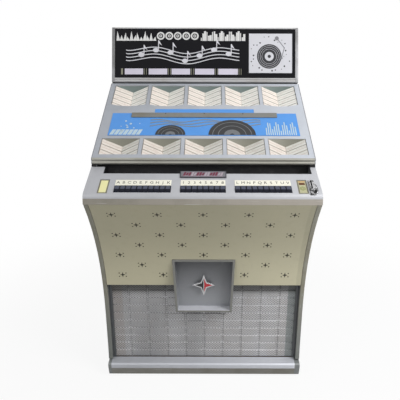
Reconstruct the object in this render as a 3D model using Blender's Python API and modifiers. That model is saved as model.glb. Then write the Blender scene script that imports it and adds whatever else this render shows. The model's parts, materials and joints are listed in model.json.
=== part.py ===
"""Console jukebox: a cabinet with a key deck, a sloping lid of title racks, a speaker grille and a header.

Metres, +Z up, front towards -Y. The origin is the middle of the footprint, on the floor.
"""

import math

import bmesh
import bpy
from mathutils import Matrix, Vector

# Clearances: SEAT is between pieces that rest on each other, SLIP between pieces that move.
SEAT = 0.0003
SLIP = 0.0005
OVERRUN = 0.010

# The front in side view, from the floor up. A setback is measured back from the front of the deck's lip.
SILL_REAR_HEIGHT = 0.071
GRILLE_HEIGHT = 0.346
PANEL_HEIGHT = 0.375
LIP_HEIGHT = 0.0195
LIP_TOP_SETBACK = 0.003
ROLL_HEIGHT = 0.0185
DECK_BEND_SETBACK = 0.0144
DECK_ANGLE = 27.73
LID_ANGLE = 32.87
HEADER_ANGLE = 16.35
WAIST_HEIGHT = 0.250
WAIST_SETBACK = 0.169
BODY_CURVE_POWER = 2.4
BODY_CURVE_STEPS = 14
PANEL_BOTTOM_HEIGHT = SILL_REAR_HEIGHT + GRILLE_HEIGHT
LIP_BOTTOM_HEIGHT = PANEL_BOTTOM_HEIGHT + PANEL_HEIGHT
LIP_TOP_HEIGHT = LIP_BOTTOM_HEIGHT + LIP_HEIGHT
DECK_BEND_HEIGHT = LIP_TOP_HEIGHT + ROLL_HEIGHT
DECK_SLOPE = math.radians(DECK_ANGLE)
LID_SLOPE = math.radians(LID_ANGLE)
HEADER_LEAN = math.radians(HEADER_ANGLE)

# The front in plan: the deck's keys, windows and coin entry share out the room that they leave.
WIDTH = 0.790
KEY_BANK_GAP_SHARE = 0.450
WINDOW_GAP_SHARE = 0.298
COIN_GAP_SHARE = 0.065

# Selection keys, in three banks across the deck.
KEY_PITCH = 0.0189
KEY_GAP = 0.0008
KEY_LENGTH = 0.033
KEY_SETDOWN = 0.063
KEY_REAR_HEIGHT = 0.0015
KEY_CREST_HEIGHT = 0.0045
KEY_CREST_SETDOWN = 0.0205
KEY_FRONT_HEIGHT = 0.0008
KEY_DISH = 0.0006
KEY_STEM = 0.012
KEY_EDGE = 0.0009
LEFT_LETTERS = "abcdefghjk"
NUMBERS = "12345678"
RIGHT_LETTERS = "lmnpqrstuv"
NUMBER_BANK_HALF = len(NUMBERS) * KEY_PITCH / 2
LETTER_BANK_HALF = len(LEFT_LETTERS) * KEY_PITCH / 2

# Card windows: shallow recesses in the deck, outside the letter keys.
WINDOW_HALF_WIDTH = 0.017
WINDOW_SETDOWN = 0.031
WINDOW_LENGTH = 0.069
WINDOW_RECESS = 0.0015

# Coin entry and its return button, outside the right window.
COIN_HALF_WIDTH = 0.0135
COIN_SETDOWN = 0.036
COIN_LENGTH = 0.070
COIN_PLATE = 0.004
COIN_TOP_SHARE = 0.35
COIN_SHOULDER_SHARE = 0.45
COIN_ROUND_SHARE = 0.86
COIN_RIB_HEIGHT = 0.009
COIN_RIB_WIDTH = 0.0105
COIN_RIB_MARGIN = 0.004
COIN_SLOT_WIDTH = 0.0048
COIN_SLOT_LENGTH = 0.040
BUTTON_RADIUS = 0.0045
BUTTON_HEIGHT = 0.010
BUTTON_BOSS_WALL = 0.0022
BUTTON_BOSS_HEIGHT = 0.0085
BUTTON_FLOOR = 0.002
BUTTON_TRAVEL = 0.003
BUTTON_MARGIN = 0.014

# What the deck's pieces leave between them, and where that puts them.
HALF_WIDTH = WIDTH / 2
DECK_PIECES = NUMBER_BANK_HALF + LETTER_BANK_HALF + LETTER_BANK_HALF + WINDOW_HALF_WIDTH + WINDOW_HALF_WIDTH
DECK_SPARE = HALF_WIDTH - DECK_PIECES - COIN_HALF_WIDTH - COIN_HALF_WIDTH
LETTER_BANK_CENTRE = NUMBER_BANK_HALF + DECK_SPARE * KEY_BANK_GAP_SHARE + LETTER_BANK_HALF
WINDOW_CENTRE = LETTER_BANK_CENTRE + LETTER_BANK_HALF + DECK_SPARE * WINDOW_GAP_SHARE + WINDOW_HALF_WIDTH
COIN_CENTRE = WINDOW_CENTRE + WINDOW_HALF_WIDTH + DECK_SPARE * COIN_GAP_SHARE + COIN_HALF_WIDTH

# Deck: a folded sheet that carries the keys and the coin entry, with a dark trough behind it.
DECK_THICKNESS = 0.004
DECK_FRONT_MARGIN = 0.0007
LIP_RETURN = 0.012
DECK_CORNER_LENGTH = 0.036
TROUGH_LEFT_MARGIN = 0.048
TROUGH_RIGHT_MARGIN = 0.019
TROUGH_WALL = 0.003
TROUGH_DROP = 0.030
TROUGH_LENGTH = 0.062
TROUGH_BACK_RISE = 0.042
DECK_LENGTH = KEY_SETDOWN + KEY_LENGTH + DECK_FRONT_MARGIN
DECK_REAR_SETBACK = DECK_BEND_SETBACK + DECK_LENGTH * math.cos(DECK_SLOPE)
DECK_REAR_HEIGHT = DECK_BEND_HEIGHT + DECK_LENGTH * math.sin(DECK_SLOPE)
TROUGH_LEFT_REACH = HALF_WIDTH - TROUGH_LEFT_MARGIN
TROUGH_RIGHT_REACH = HALF_WIDTH - TROUGH_RIGHT_MARGIN

# Lid: a folded frame with two rows of windows and a picture panel between them.
LID_STEP_SETBACK = 0.034
LID_STEP_HEIGHT = 0.048
LID_GAP = 0.003
LID_DEPTH = 0.020
LID_SHEET = 0.004
LID_SKIRT = 0.006
LID_BARREL_RADIUS = 0.0065
LID_SKIRT_START = 0.035
LID_RIB_DEPTH = 0.0045
LID_FRONT_MARGIN = 0.0213
BANKS = 5
BANK_END_MARGIN = 0.01375
BANK_GAP = 0.0135
UPPER_BANK_START = 0.0215
UPPER_BANK_LENGTH = 0.130
UPPER_BANK_BOW = 0.012
UPPER_BANK_DROP = 0.033
LOWER_BANK_LENGTH = 0.086
LOWER_BANK_DROP = 0.040
RACK_WALL = 0.0025
RACK_LAP = 0.004
ART_LENGTH = 0.132
ART_END_MARGIN = 0.038
ART_TAB_LENGTH = 0.026
ART_TAB_MARGIN = 0.0195
ART_TAB_STEP = 0.163
ART_FRONT_MARGIN = 0.016
BANK_PITCH = (WIDTH - BANK_END_MARGIN - BANK_END_MARGIN) / BANKS
BANK_WIDTH = BANK_PITCH - BANK_GAP
ART_START = UPPER_BANK_START + UPPER_BANK_LENGTH + UPPER_BANK_BOW + ART_TAB_MARGIN + ART_TAB_LENGTH
ART_HALF_WIDTH = HALF_WIDTH - ART_END_MARGIN
ART_TAB_HALF_WIDTH = ART_HALF_WIDTH - ART_TAB_STEP
LOWER_BANK_START = ART_START + ART_LENGTH + ART_FRONT_MARGIN
LID_LENGTH = LOWER_BANK_START + LOWER_BANK_LENGTH + LID_FRONT_MARGIN
LID_FRONT_SETBACK = DECK_REAR_SETBACK + LID_STEP_SETBACK
LID_FRONT_HEIGHT = DECK_REAR_HEIGHT + LID_STEP_HEIGHT
LID_REAR_SETBACK = LID_FRONT_SETBACK + LID_LENGTH * math.cos(LID_SLOPE)
LID_REAR_HEIGHT = LID_FRONT_HEIGHT + LID_LENGTH * math.sin(LID_SLOPE)

# Header: a leaning glass in a metal frame, on a closed case.
HEADER_LENGTH = 0.2345
FRAME_THICKNESS = 0.014
FRAME_SIDE = 0.0125
FRAME_TOP = 0.006
FRAME_BOTTOM = 0.020
FRAME_RIB = 0.003
GLASS_THICKNESS = 0.005
GLASS_RECESS = 0.0015
CASE_WALL = 0.003
CASE_TOP_DEPTH = 0.070
CASE_LAP = 0.029
CASE_TOP_CHAMFER = 0.016
HEADER_TOP_SETBACK = LID_REAR_SETBACK + HEADER_LENGTH * math.sin(HEADER_LEAN)
HEADER_TOP_HEIGHT = LID_REAR_HEIGHT + HEADER_LENGTH * math.cos(HEADER_LEAN)
DEPTH = HEADER_TOP_SETBACK + CASE_TOP_DEPTH
CASE_BOTTOM_HEIGHT = LID_REAR_HEIGHT - CASE_LAP

# Cabinet boards and trims.
SIDE_THICKNESS = 0.017
TRIM_DEPTH = 0.009
TRIM_ROUND = 0.003
PANEL_THICKNESS = 0.005
BOARD_THICKNESS = 0.015
CABINET_CLEARANCE = 0.008
GLIDE_RADIUS = 0.016
GLIDE_FOOT_SHARE = 0.8
GLIDE_INSET = 0.050
BOARD_RAISE = 0.006
INNER_HALF = HALF_WIDTH - SIDE_THICKNESS

# Base moulding.
SILL_FRONT_HEIGHT = 0.063
NOSE_SETBACK = 0.150
NOSE_HEIGHT = 0.021
KICK_SETBACK = 0.158
NOSE_ROUND = 0.005

# Speaker grille: a plate pressed into shallow raised cells.
GRILLE_RECESS = 0.018
GRILLE_THICKNESS = 0.003
GRILLE_COLUMNS = 10
GRILLE_ROWS = 10
GRILLE_RELIEF = 0.004
GRILLE_LAP = 0.012
GRILLE_GROOVE = 0.004

# Emblem box: a tapered tray that stands in a notch of the front panel.
BOX_RISE = 0.120
BOX_FALL = 0.107
BOX_TOP_HALF = 0.119
BOX_BOTTOM_HALF = 0.110
BOX_FRONT_SETBACK = 0.131
BOX_FOOT_SETBACK = 0.137
BOX_WALL = 0.009
BOX_BACK_SETBACK = 0.176
BOX_BACK_WALL = 0.004
BOX_UNDERCUT = 0.021
EMBLEM_RADIUS = 0.045
EMBLEM_WAIST_RADIUS = 0.017
EMBLEM_THICKNESS = 0.004
EMBLEM_STANDOFF = 0.012
EMBLEM_STUD_RADIUS = 0.004
EMBLEM_DROP = 0.005
BOX_TOP_HEIGHT = PANEL_BOTTOM_HEIGHT + BOX_RISE
BOX_BOTTOM_HEIGHT = PANEL_BOTTOM_HEIGHT - BOX_FALL

# Back door and its air slots.
DOOR_THICKNESS = 0.009
VENT_COUNT = 7
VENT_HEIGHT = 0.008
VENT_PITCH = 0.024
VENT_HALF_LENGTH = 0.065
VENT_CENTRE = 0.185
VENT_LOW_HEIGHT = 0.170
VENT_SHELF_RISE = 0.160

# Speakers, behind the grille.
BAFFLE_GAP = 0.006
BAFFLE_RISE = 0.143
WOOFER_RADIUS = 0.150
WOOFER_HEIGHT = 0.235
WOOFER_RIM = 0.006
WOOFER_DEPTH = 0.105
MAGNET_RADIUS = 0.055
MAGNET_DEPTH = 0.030
WOOFER_SIDES = 32
BAFFLE_TOP_HEIGHT = PANEL_BOTTOM_HEIGHT + BAFFLE_RISE
WOOFER_CENTRE = INNER_HALF / 2
WOOFER_HOLE_RADIUS = WOOFER_RADIUS - WOOFER_RIM - WOOFER_RIM

# Coin mechanism, on the right side panel under the deck.
MECH_WIDTH = 0.090
MECH_DEPTH = 0.120
MECH_HEIGHT = 0.170
MECH_DROP = 0.012
MECH_FRONT_SETBACK = 0.138
MECH_CLEARANCE = 0.004
CHUTE_WIDTH = 0.012
CHUTE_DEPTH = 0.030
CHUTE_DROP = 0.004
CHUTE_CHANNEL_DEPTH = 0.022
MECH_TOP_HEIGHT = LIP_BOTTOM_HEIGHT - MECH_DROP

# Mechanism: a shelf with the record magazine and a carriage that runs along it.
SHELF_DROP = 0.092
MAGAZINE_MARGIN = 0.008
MAGAZINE_HALF_LENGTH = 0.280
MAGAZINE_HALF_DEPTH = 0.080
MAGAZINE_HEIGHT = 0.055
MAGAZINE_FOOT = 0.012
RECORD_RADIUS = 0.0885
RECORD_SLOT = 0.003
RECORD_SLOTS = 32
RECORD_PITCH = 0.0155
RECORD_LIFT = 0.008
RAIL_GAP = 0.024
RAIL_WIDTH = 0.010
RAIL_HEIGHT = 0.026
RAIL_SPACING = 0.100
CARRIAGE_HALF_LENGTH = 0.060
CARRIAGE_THICKNESS = 0.022
CARRIAGE_GRIP = 0.010
UPRIGHT_THICKNESS = 0.010
UPRIGHT_HEADROOM = 0.015
UPRIGHT_HALF_DEPTH = 0.052
CLAMP_HEIGHT = 0.120
CLAMP_RADIUS = 0.046
CLAMP_THICKNESS = 0.012
CLAMP_SHAFT_RADIUS = 0.006
CLAMP_HUB_RADIUS = 0.015
CLAMP_HUB_LENGTH = 0.010
ARM_PIVOT_HEIGHT = 0.190
ARM_PIVOT_SETBACK = 0.034
ARM_SHAFT_RADIUS = 0.004
ARM_LENGTH = 0.105
ARM_WIDTH = 0.010
ARM_THICKNESS = 0.008
HEAD_LENGTH = 0.022
HEAD_WIDTH = 0.018
MOTOR_RADIUS = 0.026
MOTOR_LENGTH = 0.045
UPRIGHT_HEIGHT = ARM_PIVOT_HEIGHT + UPRIGHT_HEADROOM
SHELF_HEIGHT = LIP_BOTTOM_HEIGHT - SHELF_DROP
SHELF_FRONT_SETBACK = MECH_FRONT_SETBACK + MECH_DEPTH + MECH_CLEARANCE
MAGAZINE_CENTRE_SETBACK = SHELF_FRONT_SETBACK + MAGAZINE_MARGIN + MAGAZINE_HALF_DEPTH

# Amplifier, on the cabinet floor.
AMP_HALF_WIDTH = 0.170
AMP_HALF_DEPTH = 0.090
AMP_HEIGHT = 0.060
AMP_REAR_GAP = 0.071
TRANSFORMER_SIZE = 0.075
TUBE_RADIUS = 0.015
TUBE_HEIGHT = 0.065
TUBE_TOP_SHARE = 0.8
TUBES = 4
TUBE_PITCH = 0.042
AMP_CENTRE_SETBACK = DEPTH - DOOR_THICKNESS - AMP_REAR_GAP - AMP_HALF_DEPTH

ROUND_SIDES = 24
SHARP_ANGLE = 40
FRONT_Y = -DEPTH / 2
GRILLE_SETBACK = WAIST_SETBACK + GRILLE_RECESS
FLOOR_TOP_HEIGHT = CABINET_CLEARANCE + BOARD_RAISE + BOARD_THICKNESS

SATIN_ALUMINIUM = ((0.60, 0.61, 0.64), 0.38, 1.0)
BRUSHED_ALUMINIUM = ((0.52, 0.52, 0.52), 0.42, 1.0)
CHROME = ((0.78, 0.79, 0.80), 0.08, 1.0)
CREAM_PAINT = ((0.78, 0.75, 0.62), 0.45, 0.0)
GREY_PAINT = ((0.30, 0.31, 0.33), 0.50, 0.0)
BLACK_PLASTIC = ((0.02, 0.02, 0.024), 0.35, 0.0)
SILVER_MESH = ((0.58, 0.58, 0.57), 0.35, 1.0)
GREY_METAL = ((0.34, 0.35, 0.37), 0.45, 0.6)
BLUE_GLASS = ((0.12, 0.36, 0.80), 0.15, 0.0)
BLACK_GLASS = ((0.01, 0.01, 0.012), 0.08, 0.0)
RACK_PLASTIC = ((0.36, 0.40, 0.38), 0.50, 0.0)
BROWN_BOARD = ((0.28, 0.18, 0.10), 0.70, 0.0)
ZINC = ((0.55, 0.56, 0.56), 0.40, 1.0)
CARDBOARD_CONE = ((0.06, 0.06, 0.06), 0.80, 0.0)


def clear_scene():
    for thing in list(bpy.data.objects):
        bpy.data.objects.remove(thing, do_unlink=True)
    for name in ("jukebox", "cutters"):
        bpy.context.scene.collection.children.link(bpy.data.collections.new(name))


def paint(thing, finish):
    colour, roughness, metallic = finish
    material = bpy.data.materials.new(thing.name)
    material.use_nodes = True
    shader = material.node_tree.nodes["Principled BSDF"]
    shader.inputs["Base Color"].default_value = (*colour, 1.0)
    shader.inputs["Roughness"].default_value = roughness
    shader.inputs["Metallic"].default_value = metallic
    thing.data.materials.clear()
    thing.data.materials.append(material)
    return thing


def add_mesh(name, shape, parent=None):
    """Puts a bmesh into the jukebox's collection as an object."""
    mesh = bpy.data.meshes.new(name)
    shape.to_mesh(mesh)
    shape.free()
    thing = bpy.data.objects.new(name, mesh)
    bpy.data.collections["jukebox"].objects.link(thing)
    thing.parent = parent
    return thing


def frame_empty(name, setback, height, turn):
    """An empty at a setback and height, turned about X, that carries pieces built in its own plane."""
    empty = bpy.data.objects.new(name, None)
    bpy.data.collections["jukebox"].objects.link(empty)
    empty.location = (0, FRONT_Y + setback, height)
    empty.rotation_euler = (turn, 0, 0)
    bpy.context.view_layer.update()
    return empty


def box(name, low, high, parent=None):
    shape = bmesh.new()
    bmesh.ops.create_cube(shape, size=1)
    size = Matrix.Diagonal((*(b - a for a, b in zip(low, high)), 1))
    centre = Matrix.Translation([(a + b) / 2 for a, b in zip(low, high)])
    bmesh.ops.transform(shape, matrix=centre @ size, verts=shape.verts)
    return add_mesh(name, shape, parent)


def side_box(name, x_low, x_high, setback_low, setback_high, z_low, z_high):
    """A box given by setbacks from the deck's lip."""
    return box(name, (x_low, FRONT_Y + setback_low, z_low), (x_high, FRONT_Y + setback_high, z_high))


AXIS_TURNS = {
    "x": Matrix.Rotation(math.pi / 2, 4, "Y"),
    "y": Matrix.Rotation(-math.pi / 2, 4, "X"),
    "z": Matrix.Identity(4),
}


def cylinder(name, start, axis, length, radius, end_radius=None, sides=ROUND_SIDES, parent=None):
    """A round bar or cone from a start point along an axis."""
    shape = bmesh.new()
    last = radius if end_radius is None else end_radius
    bmesh.ops.create_cone(shape, cap_ends=True, segments=sides, radius1=radius, radius2=last, depth=length)
    lift = Matrix.Translation((0, 0, length / 2))
    bmesh.ops.transform(shape, matrix=Matrix.Translation(start) @ AXIS_TURNS[axis] @ lift, verts=shape.verts)
    thing = add_mesh(name, shape, parent)
    thing.data.shade_smooth()
    thing.data.set_sharp_from_angle(angle=math.radians(SHARP_ANGLE))
    return thing


def flat_outline(name, points, thickness, matrix, parent=None):
    """A closed outline filled and extruded by half its thickness to each side, as a welded mesh."""
    curve = bpy.data.curves.new(name, "CURVE")
    curve.dimensions = "2D"
    curve.fill_mode = "BOTH"
    curve.extrude = thickness / 2
    spline = curve.splines.new("POLY")
    spline.points.add(len(points) - 1)
    for slot, (u, v) in zip(spline.points, points):
        slot.co = (u, v, 0, 1)
    spline.use_cyclic_u = True
    drawn = bpy.data.objects.new(name, curve)
    bpy.context.scene.collection.objects.link(drawn)
    bpy.context.view_layer.update()
    evaluated = drawn.evaluated_get(bpy.context.evaluated_depsgraph_get())
    mesh = bpy.data.meshes.new_from_object(evaluated)
    bpy.data.objects.remove(drawn, do_unlink=True)
    shape = bmesh.new()
    shape.from_mesh(mesh)
    bpy.data.meshes.remove(mesh)
    bmesh.ops.remove_doubles(shape, verts=shape.verts, dist=SEAT / 10)
    bmesh.ops.transform(shape, matrix=matrix, verts=shape.verts)
    bmesh.ops.recalc_face_normals(shape, faces=shape.faces)
    return add_mesh(name, shape, parent)


SIDE_VIEW = Matrix(((0, 0, 1, 0), (1, 0, 0, 0), (0, 1, 0, 0), (0, 0, 0, 1)))
FRONT_VIEW = Matrix(((1, 0, 0, 0), (0, 0, -1, 0), (0, 1, 0, 0), (0, 0, 0, 1)))


def side_outline(name, points, x_low, x_high, parent=None):
    """An outline in the side view, (y, z) pairs, that runs from one X to another."""
    matrix = Matrix.Translation(((x_low + x_high) / 2, 0, 0)) @ SIDE_VIEW
    return flat_outline(name, points, x_high - x_low, matrix, parent)


def front_outline(name, points, y_low, y_high, parent=None):
    """An outline in the front view, (x, z) pairs, that runs from one Y to another."""
    matrix = Matrix.Translation((0, (y_low + y_high) / 2, 0)) @ FRONT_VIEW
    return flat_outline(name, points, y_high - y_low, matrix, parent)


def top_outline(name, points, z_low, z_high, parent=None):
    """An outline in the top view, (x, y) pairs, that runs from one Z to another."""
    matrix = Matrix.Translation((0, 0, (z_low + z_high) / 2))
    return flat_outline(name, points, z_high - z_low, matrix, parent)


def boolean(target, other, operation):
    """Cuts or joins another shape, which goes to the cutters' collection."""
    step = target.modifiers.new(operation.lower() + " " + other.name, "BOOLEAN")
    step.operation = operation
    step.solver = "EXACT"
    step.object = other
    other.hide_render = True
    other.display_type = "WIRE"
    for collection in other.users_collection:
        collection.objects.unlink(other)
    bpy.data.collections["cutters"].objects.link(other)
    return target


def cut(target, other):
    return boolean(target, other, "DIFFERENCE")


def join(target, other):
    return boolean(target, other, "UNION")


def soften(thing, width, segments=2, angle=30):
    step = thing.modifiers.new("soft edges", "BEVEL")
    step.width = width
    step.segments = segments
    step.limit_method = "ANGLE"
    step.angle_limit = math.radians(angle)
    return thing


def offset_line(points, distance):
    """The line a distance to the left of an open line, with mitred corners."""
    moved = []
    for index, point in enumerate(points):
        before = Vector(points[max(index - 1, 0)])
        after = Vector(points[min(index + 1, len(points) - 1)])
        here = Vector(point)
        first = (here - before) if index > 0 else (after - here)
        second = (after - here) if index < len(points) - 1 else (here - before)
        first.normalize()
        second.normalize()
        normal_a = Vector((-first.y, first.x))
        normal_b = Vector((-second.y, second.x))
        miter = (normal_a + normal_b).normalized()
        moved.append(tuple(here + miter * (distance / miter.dot(normal_a))))
    return moved


def thick_line(points, thickness):
    """The closed outline of a bent sheet, its thickness to the left of the line."""
    return points + offset_line(points, thickness)[::-1]


def spread(first, last, count):
    """Evenly spaced values from the first to the last."""
    return [first + (last - first) * step / (count - 1) for step in range(count)]


def front_setback(height):
    """How far the concave front stands back at a height."""
    if height <= WAIST_HEIGHT:
        return WAIST_SETBACK
    share = (height - WAIST_HEIGHT) / (LIP_BOTTOM_HEIGHT - WAIST_HEIGHT)
    return WAIST_SETBACK * (1 - share**BODY_CURVE_POWER)


def front_line(bottom, top, inset=0):
    """The front's side profile from a low height to a high one, as (y, z), moved back by an inset."""
    heights = spread(bottom, top, BODY_CURVE_STEPS)
    return [(FRONT_Y + front_setback(height) + inset, height) for height in heights]


def lid_point(along, down):
    """World (y, z) of a point on the lid: along from its rear edge to the front, down from its top face."""
    y = FRONT_Y + LID_REAR_SETBACK - along * math.cos(LID_SLOPE) + down * math.sin(LID_SLOPE)
    return (y, LID_REAR_HEIGHT - along * math.sin(LID_SLOPE) - down * math.cos(LID_SLOPE))


def deck_point(along, down):
    """World (y, z) of a point on the deck: along from its rear edge to the front, down from its top face."""
    y = FRONT_Y + DECK_REAR_SETBACK - along * math.cos(DECK_SLOPE) + down * math.sin(DECK_SLOPE)
    return (y, DECK_REAR_HEIGHT - along * math.sin(DECK_SLOPE) - down * math.cos(DECK_SLOPE))


def deck_line():
    """The outer line of the deck's sheet, from the lip's return under the front to its rear corners."""
    bend = Vector((FRONT_Y + DECK_BEND_SETBACK, DECK_BEND_HEIGHT))
    lip_top = Vector((FRONT_Y + LIP_TOP_SETBACK, LIP_TOP_HEIGHT))
    reach = (bend - lip_top).length / 3
    slope = Vector((math.cos(DECK_SLOPE), math.sin(DECK_SLOPE)))
    start_pull = lip_top + Vector((0, 1)) * reach
    end_pull = bend - slope * reach
    roll = []
    for share in spread(0, 1, 6):
        rest = 1 - share
        point = lip_top * rest**3 + start_pull * (3 * rest * rest * share)
        point += end_pull * (3 * rest * share * share) + bend * share**3
        roll.append(tuple(point))
    start = [(FRONT_Y + LIP_RETURN, LIP_BOTTOM_HEIGHT), (FRONT_Y, LIP_BOTTOM_HEIGHT)]
    return start + roll + [deck_point(-DECK_CORNER_LENGTH, 0)]


def side_panel(name, x_low, x_high):
    """A side board: its front edge follows the concave front, its top the deck, the lid and the header."""
    under_deck = offset_line(deck_line(), -(DECK_THICKNESS + SEAT))
    sill_top = SILL_REAR_HEIGHT + SEAT
    board_front = FRONT_Y + GRILLE_SETBACK + GRILLE_THICKNESS
    points = [(board_front, CABINET_CLEARANCE), (board_front, sill_top)]
    points += front_line(sill_top, LIP_BOTTOM_HEIGHT - SEAT, TRIM_DEPTH + SEAT)
    points.append((under_deck[1][0] + LIP_RETURN, LIP_BOTTOM_HEIGHT - SEAT))
    points.append((under_deck[1][0] + LIP_RETURN, under_deck[1][1]))
    points += under_deck[1:]
    lid_foot = LID_FRONT_HEIGHT - LID_DEPTH / math.cos(LID_SLOPE) - SEAT
    behind_ribs = LID_FRONT_SETBACK + LID_RIB_DEPTH + LID_SKIRT * 3 / 2
    points += [(under_deck[-1][0], lid_foot), (FRONT_Y + behind_ribs, lid_foot)]
    down = LID_DEPTH + SEAT
    along = (LID_REAR_SETBACK - behind_ribs + down * math.sin(LID_SLOPE)) / math.cos(LID_SLOPE)
    points += [lid_point(along, down), lid_point(LID_SKIRT_START, down)]
    case_front = header_back_y(CASE_BOTTOM_HEIGHT)
    points.append((case_front - LID_DEPTH, CASE_BOTTOM_HEIGHT - SEAT))
    points += [(-FRONT_Y, CASE_BOTTOM_HEIGHT - SEAT), (-FRONT_Y, CABINET_CLEARANCE)]
    return paint(side_outline(name, points, x_low, x_high), GREY_PAINT)


def header_back_y(height):
    """World Y of the plane behind the header's frame at a height."""
    back = (FRAME_THICKNESS + SEAT) / math.cos(HEADER_LEAN)
    return FRONT_Y + LID_REAR_SETBACK + back + (height - LID_REAR_HEIGHT) * math.tan(HEADER_LEAN)


def edge_trim(name, x_low, x_high):
    """A bright moulding down the front edge of a side board."""
    sill_top = SILL_REAR_HEIGHT + SEAT
    outer = front_line(sill_top, LIP_BOTTOM_HEIGHT - SEAT)
    inner = front_line(sill_top, LIP_BOTTOM_HEIGHT - SEAT, TRIM_DEPTH)
    thing = side_outline(name, outer + inner[::-1], x_low, x_high)
    return paint(soften(thing, TRIM_ROUND, 2, 60), BRUSHED_ALUMINIUM)


def base_moulding():
    """The extruded sill, nose and receding kick across the foot of the front."""
    rear = FRONT_Y + GRILLE_SETBACK
    nose = FRONT_Y + NOSE_SETBACK
    points = [
        (rear, CABINET_CLEARANCE),
        (rear, SILL_REAR_HEIGHT),
        (nose + NOSE_ROUND, SILL_FRONT_HEIGHT),
        (nose, SILL_FRONT_HEIGHT - NOSE_ROUND),
        (nose, SILL_FRONT_HEIGHT - NOSE_HEIGHT),
        (FRONT_Y + KICK_SETBACK, CABINET_CLEARANCE),
    ]
    return paint(side_outline("base_moulding", points, -HALF_WIDTH, HALF_WIDTH), SATIN_ALUMINIUM)


def cabinet_floor():
    """The floor board on its four screwed glides."""
    bottom = CABINET_CLEARANCE + BOARD_RAISE
    front = GRILLE_SETBACK + GRILLE_THICKNESS + SEAT
    rear = DEPTH - DOOR_THICKNESS - SEAT - SEAT
    x = INNER_HALF - SEAT
    floor = side_box("cabinet_floor", -x, x, front, rear, bottom, bottom + BOARD_THICKNESS)
    for side in (-1, 1):
        for setback in (front + GLIDE_INSET, rear - GLIDE_INSET):
            start = (side * (x - GLIDE_INSET), FRONT_Y + setback, 0)
            tall = bottom + BOARD_THICKNESS / 2
            join(floor, cylinder("glide", start, "z", tall, GLIDE_RADIUS * GLIDE_FOOT_SHARE, GLIDE_RADIUS))
    return paint(floor, BROWN_BOARD)


def front_panel():
    """The curved painted panel between the trims, notched for the emblem box."""
    x = INNER_HALF - SEAT
    line = front_line(PANEL_BOTTOM_HEIGHT, LIP_BOTTOM_HEIGHT - SEAT, SEAT)
    inner = front_line(PANEL_BOTTOM_HEIGHT, LIP_BOTTOM_HEIGHT - SEAT, SEAT + PANEL_THICKNESS)
    panel = side_outline("front_panel", line + inner[::-1], -x, x)
    notch = box_outline(SEAT)
    low = FRONT_Y + BOX_FRONT_SETBACK - OVERRUN - OVERRUN
    cutter = front_outline("box_notch", notch, low, FRONT_Y + BOX_BACK_SETBACK + OVERRUN)
    return paint(cut(panel, cutter), CREAM_PAINT)


def box_half(height):
    """Half the emblem box's width at a height."""
    share = (height - BOX_BOTTOM_HEIGHT) / (BOX_TOP_HEIGHT - BOX_BOTTOM_HEIGHT)
    return BOX_BOTTOM_HALF + (BOX_TOP_HALF - BOX_BOTTOM_HALF) * share


def box_outline(grow):
    """The emblem box's front outline, grown outwards by a clearance or shrunk by a wall."""
    top = BOX_TOP_HEIGHT + grow
    bottom = BOX_BOTTOM_HEIGHT - grow
    return [
        (-box_half(bottom) - grow, bottom),
        (box_half(bottom) + grow, bottom),
        (box_half(top) + grow, top),
        (-box_half(top) - grow, top),
    ]


def emblem_box():
    """A tapered tray with a slanted underside."""
    front_top = FRONT_Y + BOX_FRONT_SETBACK
    front_foot = FRONT_Y + BOX_FOOT_SETBACK
    rear = FRONT_Y + BOX_BACK_SETBACK
    body = front_outline("emblem_box", box_outline(0), front_top - OVERRUN, rear)
    lean = [
        (front_top, BOX_TOP_HEIGHT + OVERRUN),
        (front_foot, BOX_BOTTOM_HEIGHT + BOX_WALL / 2),
        (front_foot + BOX_WALL / 2, BOX_BOTTOM_HEIGHT - OVERRUN),
        (front_top - OVERRUN - OVERRUN, BOX_BOTTOM_HEIGHT - OVERRUN),
        (front_top - OVERRUN - OVERRUN, BOX_TOP_HEIGHT + OVERRUN),
    ]
    cut(body, side_outline("box_lean", lean, -WIDTH, WIDTH))
    foot = [
        (front_foot + BOX_WALL / 4, BOX_BOTTOM_HEIGHT + BOX_WALL / 4),
        (rear, BOX_BOTTOM_HEIGHT + BOX_WALL / 4),
        (rear, BOX_BOTTOM_HEIGHT - BOX_UNDERCUT),
    ]
    join(body, side_outline("box_foot", foot, -box_half(BOX_BOTTOM_HEIGHT), box_half(BOX_BOTTOM_HEIGHT)))
    hollow = front_outline("box_hollow", box_outline(-BOX_WALL), front_top - OVERRUN, rear - BOX_BACK_WALL)
    return paint(cut(body, hollow), GREY_METAL)


def emblem():
    """A four-pointed star that stands off the box's back wall on two studs."""
    middle = (BOX_TOP_HEIGHT + BOX_BOTTOM_HEIGHT) / 2 - EMBLEM_DROP
    points = []
    for step in range(8):
        radius = EMBLEM_WAIST_RADIUS if step % 2 else EMBLEM_RADIUS
        turn = math.pi / 4 * step
        points.append((radius * math.sin(turn), middle + radius * math.cos(turn)))
    wall = FRONT_Y + BOX_BACK_SETBACK - BOX_BACK_WALL
    back = wall - EMBLEM_STANDOFF
    star = front_outline("emblem", points, back - EMBLEM_THICKNESS, back)
    for side in (-1, 1):
        start = (side * EMBLEM_WAIST_RADIUS / 2, back - EMBLEM_THICKNESS / 2, middle)
        reach = EMBLEM_STANDOFF + EMBLEM_THICKNESS / 2 - SEAT
        join(star, cylinder("stud", start, "y", reach, EMBLEM_STUD_RADIUS, sides=12))
    return paint(star, CHROME)


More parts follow.
